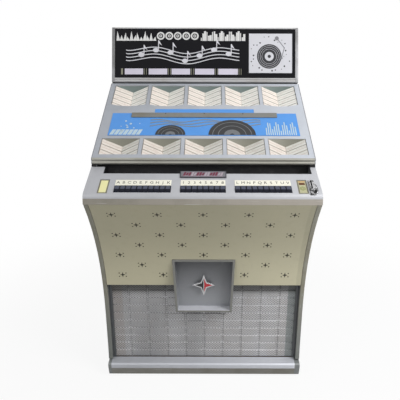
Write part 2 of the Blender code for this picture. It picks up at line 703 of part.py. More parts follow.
def speaker_grille():
    """A pressed plate of shallow raised cells between the sill and the front panel."""
    x = INNER_HALF - SEAT
    bottom = SILL_REAR_HEIGHT + SEAT
    top = PANEL_BOTTOM_HEIGHT + GRILLE_LAP
    face = FRONT_Y + GRILLE_SETBACK
    shape = bmesh.new()
    width = 2 * x / GRILLE_COLUMNS
    height = (PANEL_BOTTOM_HEIGHT - bottom) / GRILLE_ROWS
    border = GRILLE_GROOVE / 2
    xs = [-x]
    for column in range(GRILLE_COLUMNS):
        xs += [-x + column * width + border, -x + (column + 1) * width - border]
    xs.append(x)
    zs = [bottom]
    for row in range(GRILLE_ROWS):
        zs += [bottom + row * height + border, bottom + (row + 1) * height - border]
    zs.append(top)
    grid = [[shape.verts.new((px, face + GRILLE_RELIEF, pz)) for px in xs] for pz in zs]
    faces = []
    for row in range(len(zs) - 1):
        for column in range(len(xs) - 1):
            lower, upper = grid[row][column : column + 2], grid[row + 1][column : column + 2]
            face_here = shape.faces.new(lower + upper[::-1])
            if row % 2 and column % 2:
                faces.append(face_here)
    shape.normal_update()
    bmesh.ops.inset_individual(shape, faces=faces, thickness=GRILLE_GROOVE, depth=GRILLE_RELIEF)
    bmesh.ops.recalc_face_normals(shape, faces=shape.faces)
    thing = add_mesh("speaker_grille", shape)
    step = thing.modifiers.new("plate", "SOLIDIFY")
    step.thickness = GRILLE_THICKNESS
    step.offset = -1
    return paint(thing, SILVER_MESH)


def speaker_baffle():
    """The board behind the grille, with a round hole for each woofer."""
    x = INNER_HALF - SEAT
    front = GRILLE_SETBACK + GRILLE_RELIEF + GRILLE_THICKNESS + BAFFLE_GAP
    low = FLOOR_TOP_HEIGHT + SEAT
    board = side_box("speaker_baffle", -x, x, front, front + BOARD_THICKNESS, low, BAFFLE_TOP_HEIGHT)
    for side in (-1, 1):
        start = (side * WOOFER_CENTRE, FRONT_Y + front - OVERRUN, WOOFER_HEIGHT)
        length = BOARD_THICKNESS + OVERRUN + OVERRUN
        cut(board, cylinder("woofer_hole", start, "y", length, WOOFER_HOLE_RADIUS, sides=WOOFER_SIDES))
    strip = side_box("strip", -x, x, front - BAFFLE_GAP + SEAT, front + BAFFLE_GAP, PANEL_BOTTOM_HEIGHT,
                     PANEL_BOTTOM_HEIGHT + GRILLE_LAP)
    return paint(join(board, strip), BROWN_BOARD)


def woofer(name, side):
    """A cone speaker: rim, basket, cone and magnet turned about its axis."""
    front = GRILLE_SETBACK + GRILLE_RELIEF + GRILLE_THICKNESS + BAFFLE_GAP + BOARD_THICKNESS + SEAT
    rim, depth = WOOFER_RADIUS, WOOFER_DEPTH
    profile = [
        (0, depth / 2),
        (MAGNET_RADIUS / 2, depth / 2),
        (WOOFER_HOLE_RADIUS - WOOFER_RIM, WOOFER_RIM),
        (WOOFER_HOLE_RADIUS - WOOFER_RIM, 0),
        (rim, 0),
        (rim, WOOFER_RIM),
        (WOOFER_HOLE_RADIUS, WOOFER_RIM + WOOFER_RIM),
        (MAGNET_RADIUS, depth - MAGNET_DEPTH),
        (MAGNET_RADIUS, depth),
        (0, depth),
    ]
    shape = bmesh.new()
    verts = [shape.verts.new((radius, 0, along)) for radius, along in profile]
    edges = [shape.edges.new(pair) for pair in zip(verts, verts[1:])]
    bmesh.ops.spin(shape, geom=verts + edges, cent=(0, 0, 0), axis=(0, 0, 1), angle=2 * math.pi,
                   steps=WOOFER_SIDES, use_merge=True)
    bmesh.ops.remove_doubles(shape, verts=shape.verts, dist=SEAT / 10)
    bmesh.ops.recalc_face_normals(shape, faces=shape.faces)
    place = Matrix.Translation((side * WOOFER_CENTRE, FRONT_Y + front, WOOFER_HEIGHT)) @ AXIS_TURNS["y"]
    bmesh.ops.transform(shape, matrix=place, verts=shape.verts)
    thing = add_mesh(name, shape)
    thing.data.shade_smooth()
    thing.data.set_sharp_from_angle(angle=math.radians(SHARP_ANGLE))
    return paint(thing, CARDBOARD_CONE)


def key_banks():
    """Each bank's letters and the X of its middle."""
    return ((LEFT_LETTERS, -LETTER_BANK_CENTRE), (NUMBERS, 0), (RIGHT_LETTERS, LETTER_BANK_CENTRE))


def key_deck(plane):
    """The folded deck: lip, rolled front edge and sloping top, with its slots and recesses."""
    line = deck_line()
    deck = side_outline("key_deck", thick_line(line, -DECK_THICKNESS), -HALF_WIDTH, HALF_WIDTH)
    middle = (TROUGH_RIGHT_REACH - TROUGH_LEFT_REACH) / 2
    half = (TROUGH_RIGHT_REACH + TROUGH_LEFT_REACH) / 2
    low = (middle - half, 0, -DECK_THICKNESS - OVERRUN)
    cut(deck, box("trough_cut", low, (middle + half, DECK_CORNER_LENGTH + OVERRUN, OVERRUN), plane))
    for keys, centre in key_banks():
        half_bank = len(keys) * KEY_PITCH / 2 + SLIP
        low = (centre - half_bank, -KEY_SETDOWN - KEY_LENGTH - SLIP, -DECK_THICKNESS - OVERRUN)
        cut(deck, box("key_slot", low, (centre + half_bank, -KEY_SETDOWN + SLIP, OVERRUN), plane))
    for side in (-1, 1):
        low = (side * WINDOW_CENTRE - WINDOW_HALF_WIDTH, -WINDOW_SETDOWN - WINDOW_LENGTH, -WINDOW_RECESS)
        high = (side * WINDOW_CENTRE + WINDOW_HALF_WIDTH, -WINDOW_SETDOWN, OVERRUN)
        cut(deck, box("window_recess", low, high, plane))
    cut(deck, coin_slot_cutter("deck_coin_slot", plane))
    return paint(deck, SATIN_ALUMINIUM)


def slot_x():
    """X of the middle of the coin slot."""
    return COIN_CENTRE - COIN_HALF_WIDTH + COIN_RIB_MARGIN / 2 + COIN_RIB_WIDTH / 2


def slot_start():
    """How far down the deck the coin slot starts."""
    return COIN_SETDOWN + COIN_RIB_MARGIN + COIN_SLOT_WIDTH


def coin_slot_cutter(name, plane, depth=OVERRUN):
    low = (slot_x() - COIN_SLOT_WIDTH / 2, -slot_start() - COIN_SLOT_LENGTH, -DECK_THICKNESS - depth)
    high = (slot_x() + COIN_SLOT_WIDTH / 2, -slot_start(), COIN_RIB_HEIGHT + OVERRUN)
    return box(name, low, high, plane)


def coin_entry(plane):
    """A shouldered plate with a raised rib round the coin slot and a boss for the return button."""
    half, rear = COIN_HALF_WIDTH, -COIN_SETDOWN
    outline = [
        (COIN_CENTRE - half, rear),
        (COIN_CENTRE - half, rear - COIN_LENGTH),
        (COIN_CENTRE + half * COIN_TOP_SHARE, rear - COIN_LENGTH),
        (COIN_CENTRE + half, rear - COIN_LENGTH * COIN_ROUND_SHARE),
        (COIN_CENTRE + half, rear - COIN_LENGTH * COIN_SHOULDER_SHARE),
        (COIN_CENTRE + half * COIN_TOP_SHARE, rear),
    ]
    entry = top_outline("coin_entry", outline, SEAT, COIN_PLATE, plane)
    soften(entry, COIN_PLATE / 2, 3)
    rib_front = -slot_start() - COIN_SLOT_LENGTH - COIN_SLOT_WIDTH
    rib_low = (slot_x() - COIN_RIB_WIDTH / 2, rib_front, COIN_PLATE / 2)
    rib_high = (slot_x() + COIN_RIB_WIDTH / 2, -COIN_SETDOWN - COIN_RIB_MARGIN, COIN_RIB_HEIGHT)
    rib = box("coin_rib", rib_low, rib_high, plane)
    soften(rib, COIN_RIB_WIDTH / 6)
    join(entry, rib)
    x, y = button_place()
    boss_radius = BUTTON_RADIUS + BUTTON_BOSS_WALL
    boss_tall = BUTTON_BOSS_HEIGHT - COIN_PLATE / 2
    join(entry, cylinder("button_boss", (x, y, COIN_PLATE / 2), "z", boss_tall, boss_radius, parent=plane))
    hole_tall = BUTTON_BOSS_HEIGHT - BUTTON_FLOOR + OVERRUN
    hole_radius = BUTTON_RADIUS + SLIP
    cut(entry, cylinder("button_hole", (x, y, BUTTON_FLOOR), "z", hole_tall, hole_radius, parent=plane))
    cut(entry, coin_slot_cutter("entry_coin_slot", plane))
    return paint(entry, CHROME)


def button_place():
    """Deck-plane X and Y of the return button's axis."""
    x = COIN_CENTRE + COIN_HALF_WIDTH - BUTTON_RADIUS - BUTTON_BOSS_WALL - COIN_RIB_MARGIN / 4
    return x, -COIN_SETDOWN - COIN_LENGTH + BUTTON_MARGIN


def coin_return_button(plane):
    """A round button in the coin entry's boss, with room below it for its travel."""
    x, y = button_place()
    axis = bpy.data.objects.new("coin_return_axis", None)
    bpy.data.collections["jukebox"].objects.link(axis)
    axis.parent = plane
    axis.location = (x, y, 0)
    start = (0, 0, BUTTON_FLOOR + BUTTON_TRAVEL + SLIP)
    button = cylinder("coin_return_button", start, "z", BUTTON_HEIGHT, BUTTON_RADIUS, parent=axis)
    return paint(soften(button, BUTTON_RADIUS / 5, 2, 60), CHROME)


def selection_key(name, x, plane):
    """One key: a dished top that rises to a crest, a falling front, and a stem in the deck's slot."""
    axis = bpy.data.objects.new(name + "_axis", None)
    bpy.data.collections["jukebox"].objects.link(axis)
    axis.parent = plane
    axis.location = (x, -KEY_SETDOWN, 0)
    half = (KEY_PITCH - KEY_GAP) / 2
    dish_height = (KEY_REAR_HEIGHT + KEY_CREST_HEIGHT) / 2 - KEY_DISH
    points = [
        (0, -KEY_STEM),
        (0, KEY_REAR_HEIGHT),
        (-KEY_CREST_SETDOWN / 2, dish_height),
        (-KEY_CREST_SETDOWN, KEY_CREST_HEIGHT),
        (-KEY_LENGTH, KEY_FRONT_HEIGHT),
        (-KEY_LENGTH, -KEY_STEM),
    ]
    key = side_outline(name, points, -half, half, axis)
    return paint(soften(key, KEY_EDGE, 1, 40), BLACK_PLASTIC)


def rear_trough():
    """The dark tray behind the deck, which runs back under the lid's front."""
    front_z = deck_point(0, DECK_THICKNESS / 4)[1]
    floor_z = front_z - TROUGH_DROP
    y = deck_point(0, DECK_THICKNESS)[0] + SEAT + TROUGH_WALL
    line = [
        (y, front_z),
        (y, floor_z),
        (y + TROUGH_LENGTH, floor_z),
        (y + TROUGH_LENGTH, floor_z + TROUGH_BACK_RISE),
    ]
    low, high = -TROUGH_LEFT_REACH + SEAT, TROUGH_RIGHT_REACH - SEAT
    trough = side_outline("rear_trough", thick_line(line, -TROUGH_WALL), low, high)
    return paint(trough, BLACK_PLASTIC)


def lid_outline():
    """The lid's section in its own plane: y runs forward as negative, z is down from the top face."""
    tall = LID_DEPTH / math.cos(LID_SLOPE)
    # World down and world back, turned into the lid's own plane.
    down = Vector((-math.sin(LID_SLOPE), -math.cos(LID_SLOPE)))
    inward = Vector((math.cos(LID_SLOPE), -math.sin(LID_SLOPE)))
    corner = Vector((-LID_LENGTH, 0))
    points = []
    for rib in range(2):
        for step in range(5):
            share = step / 4
            bulge = math.sin(math.pi * share)
            point = corner + down * (tall * (rib + share) / 2) + inward * (LID_RIB_DEPTH * (1 - bulge))
            if not points or (Vector(points[-1]) - point).length > SEAT:
                points.append(tuple(point))
    inner_foot = corner + down * tall + inward * (LID_RIB_DEPTH + LID_SKIRT)
    points.append(tuple(inner_foot))
    points.append((-LID_LENGTH + LID_SKIRT * 2 + LID_RIB_DEPTH, -LID_SHEET))
    radius = LID_BARREL_RADIUS
    points.append((-radius - radius - LID_GAP, -LID_SHEET))
    centre = Vector((-radius - LID_GAP, -radius))
    for step in range(7):
        turn = math.radians(-150 + 240 * step / 6)
        points.append(tuple(centre + Vector((math.cos(turn), math.sin(turn))) * radius))
    return points


def bank_places():
    return [(index - (BANKS - 1) / 2) * BANK_PITCH for index in range(BANKS)]


def lid_frame(plane):
    """The folded lid: a top sheet with windows, side skirts, a ribbed front and a rolled hinge edge."""
    frame = side_outline("lid_frame", lid_outline(), -HALF_WIDTH, HALF_WIDTH, plane)
    skirt = [
        (-LID_SKIRT_START, -LID_SHEET / 2),
        (-LID_SKIRT_START, -LID_DEPTH),
        (-LID_LENGTH - LID_DEPTH * math.tan(LID_SLOPE) + LID_RIB_DEPTH + LID_SKIRT / 2, -LID_DEPTH),
        (-LID_LENGTH + LID_RIB_DEPTH + LID_SKIRT / 2, -LID_SHEET / 2),
    ]
    for x_low in (-HALF_WIDTH, HALF_WIDTH - LID_SKIRT):
        join(frame, side_outline("lid_skirt", skirt, x_low, x_low + LID_SKIRT, plane))
    for x in bank_places():
        half = BANK_WIDTH / 2
        front = -UPPER_BANK_START - UPPER_BANK_LENGTH
        bow = []
        for share in spread(-1, 1, 7):
            bow.append((x + half * share, front - UPPER_BANK_BOW * (1 - share * share)))
        window = [(x + half, -UPPER_BANK_START), (x - half, -UPPER_BANK_START)] + bow
        cut(frame, top_outline("upper_window", window, -LID_DEPTH, OVERRUN, plane))
        low = (x - half, -LOWER_BANK_START - LOWER_BANK_LENGTH, -LID_DEPTH)
        cut(frame, box("lower_window", low, (x + half, -LOWER_BANK_START, OVERRUN), plane))
    cut(frame, top_outline("art_window", art_outline(SLIP), -LID_DEPTH, OVERRUN, plane))
    return paint(frame, SATIN_ALUMINIUM)


def art_outline(grow):
    """The picture panel's outline: a wide panel with a tab towards the rear."""
    wide = ART_HALF_WIDTH + grow
    narrow = ART_TAB_HALF_WIDTH + grow
    rear = -ART_START + grow
    tab = -ART_START + ART_TAB_LENGTH + grow
    front = -ART_START - ART_LENGTH - grow
    return [
        (-wide, front),
        (wide, front),
        (wide, rear),
        (narrow, rear),
        (narrow, tab),
        (-narrow, tab),
        (-narrow, rear),
        (-wide, rear),
    ]


def hang_on_hinge(plane):
    """Moves the lid's empty onto the axis of its rolled edge, with its pieces left in place."""
    shift = Vector((0, -LID_BARREL_RADIUS - LID_GAP, -LID_BARREL_RADIUS))
    plane.location += plane.matrix_world.to_3x3() @ shift
    for piece in plane.children:
        piece.location -= shift


def art_panel(plane):
    return paint(top_outline("art_panel", art_outline(0), -LID_SHEET, -SEAT, plane), BLUE_GLASS)


def title_rack(name, start, length, drop, plane):
    """A row of V-shaped troughs under the lid's windows, closed at the rear and the front."""
    top = -LID_SHEET - SEAT
    half = BANK_WIDTH / 2 + RACK_WALL
    line = []
    for x in bank_places():
        line += [(x - half, top), (x, top - drop), (x + half, top)]
    front = -start - length - RACK_LAP
    rear = -start + RACK_WALL
    rack = front_outline(name, thick_line(line, -RACK_WALL), front, rear, plane)
    ends = (line[0][0], top - drop - RACK_WALL), (line[-1][0], top)
    for y_low in (rear - RACK_WALL, front):
        low = (ends[0][0] + RACK_WALL, y_low, ends[0][1])
        high = (ends[1][0] - RACK_WALL, y_low + RACK_WALL, top - SEAT)
        join(rack, box("rack_end", low, high, plane))
    return paint(rack, RACK_PLASTIC)


def header_frame(plane):
    """The header's end castings, top edge and ribbed lower rail, in one frame round the glass."""
    frame = box("header_frame", (-HALF_WIDTH, 0, 0), (HALF_WIDTH, FRAME_THICKNESS, HEADER_LENGTH), plane)
    soften(frame, FRAME_RIB, 2)
    x = HALF_WIDTH - FRAME_SIDE
    low = (-x, -OVERRUN, FRAME_BOTTOM)
    cut(frame, box("glass_window", low, (x, FRAME_THICKNESS + OVERRUN, HEADER_LENGTH - FRAME_TOP), plane))
    for share in (1 / 4, 3 / 4):
        height = FRAME_BOTTOM * share
        start = (-x, 0, height)
        join(frame, cylinder("rail_rib", start, "x", 2 * x, FRAME_RIB, sides=12, parent=plane))
    return paint(frame, CHROME)


def header_glass(plane):
    x = HALF_WIDTH - FRAME_SIDE - SEAT
    low = (-x, GLASS_RECESS, FRAME_BOTTOM + SEAT)
    high = (x, GLASS_RECESS + GLASS_THICKNESS, HEADER_LENGTH - FRAME_TOP - SEAT)
    return paint(box("header_glass", low, high, plane), BLACK_GLASS)


def header_case():
    """The housing behind the glass, open at the front."""
    top = HEADER_TOP_HEIGHT
    rear = -FRONT_Y
    points = [
        (header_back_y(CASE_BOTTOM_HEIGHT), CASE_BOTTOM_HEIGHT),
        (rear, CASE_BOTTOM_HEIGHT),
        (rear, top - CASE_TOP_CHAMFER),
        (rear - CASE_TOP_CHAMFER, top),
        (header_back_y(top), top),
    ]
    case = side_outline("header_case", points, -HALF_WIDTH, HALF_WIDTH)
    inside_low, inside_high = CASE_BOTTOM_HEIGHT + CASE_WALL, top - CASE_WALL
    hollow = [
        (header_back_y(inside_low) - OVERRUN, inside_low),
        (rear - CASE_WALL, inside_low),
        (rear - CASE_WALL, top - CASE_TOP_CHAMFER - CASE_WALL / 2),
        (rear - CASE_TOP_CHAMFER - CASE_WALL / 2, inside_high),
        (header_back_y(inside_high) - OVERRUN, inside_high),
    ]
    x = HALF_WIDTH - CASE_WALL
    return paint(cut(case, side_outline("case_hollow", hollow, -x, x)), GREY_PAINT)


def back_door():
    """The rear panel between the side boards, with two fields of air slots."""
    x = INNER_HALF - SEAT
    rear = DEPTH - SEAT
    low = CABINET_CLEARANCE
    door = side_box("back_door", -x, x, rear - DOOR_THICKNESS, rear, low, CASE_BOTTOM_HEIGHT - SEAT)
    for field in (VENT_LOW_HEIGHT, SHELF_HEIGHT + VENT_SHELF_RISE):
        for side in (-1, 1):
            for row in range(VENT_COUNT):
                z = field + row * VENT_PITCH
                x_low = side * VENT_CENTRE - VENT_HALF_LENGTH
                slot = side_box("vent", x_low, x_low + 2 * VENT_HALF_LENGTH, rear - DOOR_THICKNESS - OVERRUN,
                                rear + OVERRUN, z, z + VENT_HEIGHT)
                cut(door, slot)
    return paint(door, GREY_PAINT)


def mechanism_shelf():
    x = INNER_HALF - SEAT
    rear = DEPTH - DOOR_THICKNESS - SEAT - SEAT
    top = SHELF_HEIGHT + BOARD_THICKNESS
    shelf = side_box("mechanism_shelf", -x, x, SHELF_FRONT_SETBACK, rear, SHELF_HEIGHT, top)
    return paint(shelf, BROWN_BOARD)


def shelf_top():
    return SHELF_HEIGHT + BOARD_THICKNESS + SEAT


def rail_setbacks():
    """Setbacks of the middle of the two carriage rails."""
    first = MAGAZINE_CENTRE_SETBACK + MAGAZINE_HALF_DEPTH + RAIL_GAP + RAIL_WIDTH / 2
    return first, first + RAIL_SPACING


def record_magazine():
    """The comb that holds the records upright, on a plate with the carriage's two rails."""
    low = shelf_top()
    near = MAGAZINE_CENTRE_SETBACK - MAGAZINE_HALF_DEPTH
    far = rail_setbacks()[1] + RAIL_WIDTH
    x = MAGAZINE_HALF_LENGTH
    magazine = side_box("record_magazine", -x, x, near, far, low, low + MAGAZINE_FOOT)
    comb_rear = MAGAZINE_CENTRE_SETBACK + MAGAZINE_HALF_DEPTH
    comb = side_box("comb", -x, x, near, comb_rear, low + MAGAZINE_FOOT / 2, low + MAGAZINE_HEIGHT)
    centre_y = FRONT_Y + MAGAZINE_CENTRE_SETBACK
    centre_z = low + MAGAZINE_FOOT + RECORD_LIFT + RECORD_RADIUS
    for index in range(RECORD_SLOTS):
        middle = (index - (RECORD_SLOTS - 1) / 2) * RECORD_PITCH
        start = (middle - RECORD_SLOT / 2, centre_y, centre_z)
        cut(comb, cylinder("record_slot", start, "x", RECORD_SLOT, RECORD_RADIUS + SLIP, sides=WOOFER_SIDES))
    join(magazine, comb)
    for setback in rail_setbacks():
        rail = side_box("rail", -x, x, setback - RAIL_WIDTH / 2, setback + RAIL_WIDTH / 2,
                        low + MAGAZINE_FOOT / 2, low + MAGAZINE_FOOT + RAIL_HEIGHT)
        join(magazine, rail)
    return paint(magazine, ZINC)


def carriage_base():
    """Height of the underside of the carriage's plate."""
    return shelf_top() + MAGAZINE_FOOT + RAIL_HEIGHT + SLIP


def mechanism_carriage():
    """The plate on the rails, with an upright for the clamp's shaft and the tonearm's pivot, and a motor."""
    near, far = rail_setbacks()
    margin = RAIL_WIDTH / 2 + SLIP + CARRIAGE_GRIP / 2
    x = CARRIAGE_HALF_LENGTH
    low = carriage_base()
    top = low + CARRIAGE_THICKNESS
    carriage = side_box("mechanism_carriage", -x, x, near - margin, far + margin, low, top)
    for setback in (near, far):
        for side in (-1, 1):
            inner = setback + side * (RAIL_WIDTH / 2 + SLIP)
            ends = sorted((inner, inner + side * CARRIAGE_GRIP / 2))
            grip_top = low + CARRIAGE_THICKNESS / 2
            grip = side_box("grip", -x, x, ends[0], ends[1], low - CARRIAGE_GRIP, grip_top)
            join(carriage, grip)
    middle = (near + far) / 2
    upright = side_box("upright", -UPRIGHT_THICKNESS / 2, UPRIGHT_THICKNESS / 2, middle - UPRIGHT_HALF_DEPTH,
                       middle + UPRIGHT_HALF_DEPTH, low + CARRIAGE_THICKNESS / 2, low + UPRIGHT_HEIGHT)
    soften(upright, UPRIGHT_THICKNESS / 4)
    join(carriage, upright)
    y = FRONT_Y + middle
    long_bore = UPRIGHT_THICKNESS + OVERRUN + OVERRUN
    start = (-long_bore / 2, y, low + CLAMP_HEIGHT)
    cut(carriage, cylinder("clamp_bore", start, "x", long_bore, CLAMP_SHAFT_RADIUS + SLIP))
    start = (-long_bore / 2, y + ARM_PIVOT_SETBACK, low + ARM_PIVOT_HEIGHT)
    cut(carriage, cylinder("arm_bore", start, "x", long_bore, ARM_SHAFT_RADIUS + SLIP))
    motor_start = (-x + OVERRUN / 2, y, low + CARRIAGE_THICKNESS + MOTOR_RADIUS / 2)
    join(carriage, cylinder("motor", motor_start, "x", MOTOR_LENGTH, MOTOR_RADIUS))
    return paint(carriage, ZINC)


def axis_empty(name, x, y, z):
    empty = bpy.data.objects.new(name, None)
    bpy.data.collections["jukebox"].objects.link(empty)
    empty.location = (x, y, z)
    return empty


def turntable_clamp():
    """The flywheel and clamp on a shaft through the upright."""
    near, far = rail_setbacks()
    y = FRONT_Y + (near + far) / 2
    axis = axis_empty("clamp_axis", 0, y, carriage_base() + CLAMP_HEIGHT)
    face = UPRIGHT_THICKNESS / 2 + SLIP
    wheel = cylinder("turntable_clamp", (face, 0, 0), "x", CLAMP_THICKNESS, CLAMP_RADIUS,
                     sides=WOOFER_SIDES, parent=axis)
    reach = face + CLAMP_HUB_LENGTH
    length = reach + face + CLAMP_THICKNESS / 2
    shaft = cylinder("clamp_shaft", (-reach, 0, 0), "x", length, CLAMP_SHAFT_RADIUS, parent=axis)
    join(wheel, shaft)
    hub = cylinder("clamp_hub", (-reach, 0, 0), "x", CLAMP_HUB_LENGTH, CLAMP_HUB_RADIUS, parent=axis)
    join(wheel, hub)
    return paint(wheel, BRUSHED_ALUMINIUM)


def tonearm():
    """The pickup arm on its pivot shaft, hanging beside the clamp."""
    near, far = rail_setbacks()
    y = FRONT_Y + (near + far) / 2 + ARM_PIVOT_SETBACK
    axis = axis_empty("tonearm_axis", 0, y, carriage_base() + ARM_PIVOT_HEIGHT)
    face = UPRIGHT_THICKNESS / 2 + SLIP
    near_x = -face - CLAMP_HUB_LENGTH - SLIP - ARM_THICKNESS
    low = (near_x, -ARM_WIDTH / 2, -ARM_LENGTH)
    arm = box("tonearm", low, (near_x + ARM_THICKNESS, ARM_WIDTH / 2, ARM_WIDTH), axis)
    soften(arm, ARM_THICKNESS / 5)
    start = (near_x + ARM_THICKNESS / 2, 0, 0)
    shaft = cylinder("arm_shaft", start, "x", face - near_x, ARM_SHAFT_RADIUS, sides=12, parent=axis)
    join(arm, shaft)
    low = (near_x, -HEAD_WIDTH / 2, -ARM_LENGTH - HEAD_LENGTH / 2)
    head = box("arm_head", low, (near_x + ARM_THICKNESS, HEAD_WIDTH / 2, -ARM_LENGTH + HEAD_LENGTH / 2), axis)
    join(arm, head)
    return paint(arm, BLACK_PLASTIC)


def amplifier():
    """The amplifier's chassis with two transformers and a row of tubes."""
    low = FLOOR_TOP_HEIGHT + SEAT
    y = AMP_CENTRE_SETBACK
    chassis = side_box("amplifier", -AMP_HALF_WIDTH, AMP_HALF_WIDTH, y - AMP_HALF_DEPTH, y + AMP_HALF_DEPTH,
                       low, low + AMP_HEIGHT)
    size = TRANSFORMER_SIZE
    for side in (-1, 1):
        x = side * (AMP_HALF_WIDTH - size)
        block = side_box("transformer", x - size / 2, x + size / 2, y, y + size, low + AMP_HEIGHT / 2,
                         low + AMP_HEIGHT + size)
        join(chassis, soften(block, size / 15))
    for index in range(TUBES):
        x = (index - (TUBES - 1) / 2) * TUBE_PITCH
        start = (x, FRONT_Y + y - AMP_HALF_DEPTH / 2, low + AMP_HEIGHT / 2)
        join(chassis, cylinder("tube", start, "z", AMP_HEIGHT / 2 + TUBE_HEIGHT, TUBE_RADIUS,
                               TUBE_RADIUS * TUBE_TOP_SHARE, sides=12))
    return paint(chassis, ZINC)


def coin_mechanism(plane):
    """The slug rejector's housing on the side board, fed by a chute from the coin slot."""
    x_high = INNER_HALF - SEAT
    front, rear = MECH_FRONT_SETBACK, MECH_FRONT_SETBACK + MECH_DEPTH
    body = side_box("coin_mechanism", x_high - MECH_WIDTH, x_high, front, rear,
                    MECH_TOP_HEIGHT - MECH_HEIGHT, MECH_TOP_HEIGHT)
    start, end = slot_start(), slot_start() + COIN_SLOT_LENGTH
    under = DECK_THICKNESS + CHUTE_DROP
    foot = (FRONT_Y + front + MECH_DEPTH / 4, MECH_TOP_HEIGHT - CHUTE_DEPTH)
    chute = [
        deck_point(end, under),
        deck_point(start, under),
        (foot[0], MECH_TOP_HEIGHT),
        foot,
        (deck_point(end, under)[0], deck_point(end, under)[1] - CHUTE_DEPTH),
    ]
    x = slot_x()
    join(body, side_outline("coin_chute", chute, x - CHUTE_WIDTH / 2, x + CHUTE_WIDTH / 2))
    cut(body, coin_slot_cutter("chute_channel", plane, CHUTE_DROP + CHUTE_CHANNEL_DEPTH))
    return paint(body, ZINC)


def build():
    clear_scene()
    side_panel("left_side_panel", -HALF_WIDTH, -INNER_HALF)
    side_panel("right_side_panel", INNER_HALF, HALF_WIDTH)
    edge_trim("left_edge_trim", -HALF_WIDTH, -INNER_HALF)
    edge_trim("right_edge_trim", INNER_HALF, HALF_WIDTH)
    base_moulding()
    cabinet_floor()
    back_door()
    front_panel()
    emblem_box()
    emblem()
    speaker_grille()
    speaker_baffle()
    woofer("left_woofer", -1)
    woofer("right_woofer", 1)

    deck_plane = frame_empty("deck_plane", DECK_REAR_SETBACK, DECK_REAR_HEIGHT, DECK_SLOPE)
    key_deck(deck_plane)
    rear_trough()
    coin_entry(deck_plane)
    coin_return_button(deck_plane)
    for keys, centre in key_banks():
        for index, legend in enumerate(keys):
            x = centre + (index - (len(keys) - 1) / 2) * KEY_PITCH
            selection_key("key_" + legend, x, deck_plane)

    lid_plane = frame_empty("lid_plane", LID_REAR_SETBACK, LID_REAR_HEIGHT, LID_SLOPE)
    lid_frame(lid_plane)
    upper_length = UPPER_BANK_LENGTH + UPPER_BANK_BOW
    title_rack("upper_title_rack", UPPER_BANK_START, upper_length, UPPER_BANK_DROP, lid_plane)
    title_rack("lower_title_rack", LOWER_BANK_START, LOWER_BANK_LENGTH, LOWER_BANK_DROP, lid_plane)
    art_panel(lid_plane)
    hang_on_hinge(lid_plane)

    header_plane = frame_empty("header_plane", LID_REAR_SETBACK, LID_REAR_HEIGHT, -HEADER_LEAN)
    header_frame(header_plane)
    header_glass(header_plane)
    header_case()

    mechanism_shelf()
    record_magazine()
    mechanism_carriage()
    turntable_clamp()
    tonearm()
    amplifier()
    coin_mechanism(deck_plane)


build()
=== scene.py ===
"""Dresses a console jukebox: finishes, keys, title strips, artwork, records and a studio stage."""

import json
import math

import bmesh
import bpy
from mathutils import Matrix, Vector

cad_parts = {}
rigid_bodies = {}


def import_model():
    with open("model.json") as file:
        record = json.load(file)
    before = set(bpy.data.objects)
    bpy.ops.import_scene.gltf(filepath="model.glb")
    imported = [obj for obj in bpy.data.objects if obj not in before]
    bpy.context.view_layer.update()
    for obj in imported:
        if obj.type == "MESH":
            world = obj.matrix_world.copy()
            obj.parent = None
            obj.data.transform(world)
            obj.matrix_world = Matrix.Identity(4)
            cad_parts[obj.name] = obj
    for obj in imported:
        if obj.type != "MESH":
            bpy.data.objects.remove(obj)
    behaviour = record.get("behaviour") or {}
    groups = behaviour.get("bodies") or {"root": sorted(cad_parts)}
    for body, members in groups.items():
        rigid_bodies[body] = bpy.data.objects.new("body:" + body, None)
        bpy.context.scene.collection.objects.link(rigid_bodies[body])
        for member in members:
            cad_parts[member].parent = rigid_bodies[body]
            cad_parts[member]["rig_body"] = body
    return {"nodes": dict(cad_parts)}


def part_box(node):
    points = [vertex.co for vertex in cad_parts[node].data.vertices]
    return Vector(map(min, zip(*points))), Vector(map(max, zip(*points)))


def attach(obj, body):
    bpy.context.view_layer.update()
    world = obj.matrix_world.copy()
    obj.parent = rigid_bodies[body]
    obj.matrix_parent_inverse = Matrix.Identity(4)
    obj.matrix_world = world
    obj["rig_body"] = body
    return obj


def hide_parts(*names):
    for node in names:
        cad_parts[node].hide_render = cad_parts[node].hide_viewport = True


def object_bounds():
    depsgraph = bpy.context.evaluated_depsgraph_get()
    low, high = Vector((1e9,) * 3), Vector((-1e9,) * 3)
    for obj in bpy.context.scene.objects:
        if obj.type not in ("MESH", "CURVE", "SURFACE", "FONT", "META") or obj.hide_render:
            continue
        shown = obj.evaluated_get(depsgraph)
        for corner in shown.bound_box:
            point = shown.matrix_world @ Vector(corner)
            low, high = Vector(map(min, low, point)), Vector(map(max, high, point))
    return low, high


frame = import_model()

CAD_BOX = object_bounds()

bl_info = {
    "name": "Console jukebox dresser",
    "version": (1, 0, 0),
    "blender": (4, 5, 0),
    "location": "View3D > Sidebar > Jukebox",
    "description": "Finishes, fine pieces and a stage for a console jukebox",
    "category": "Object",
}

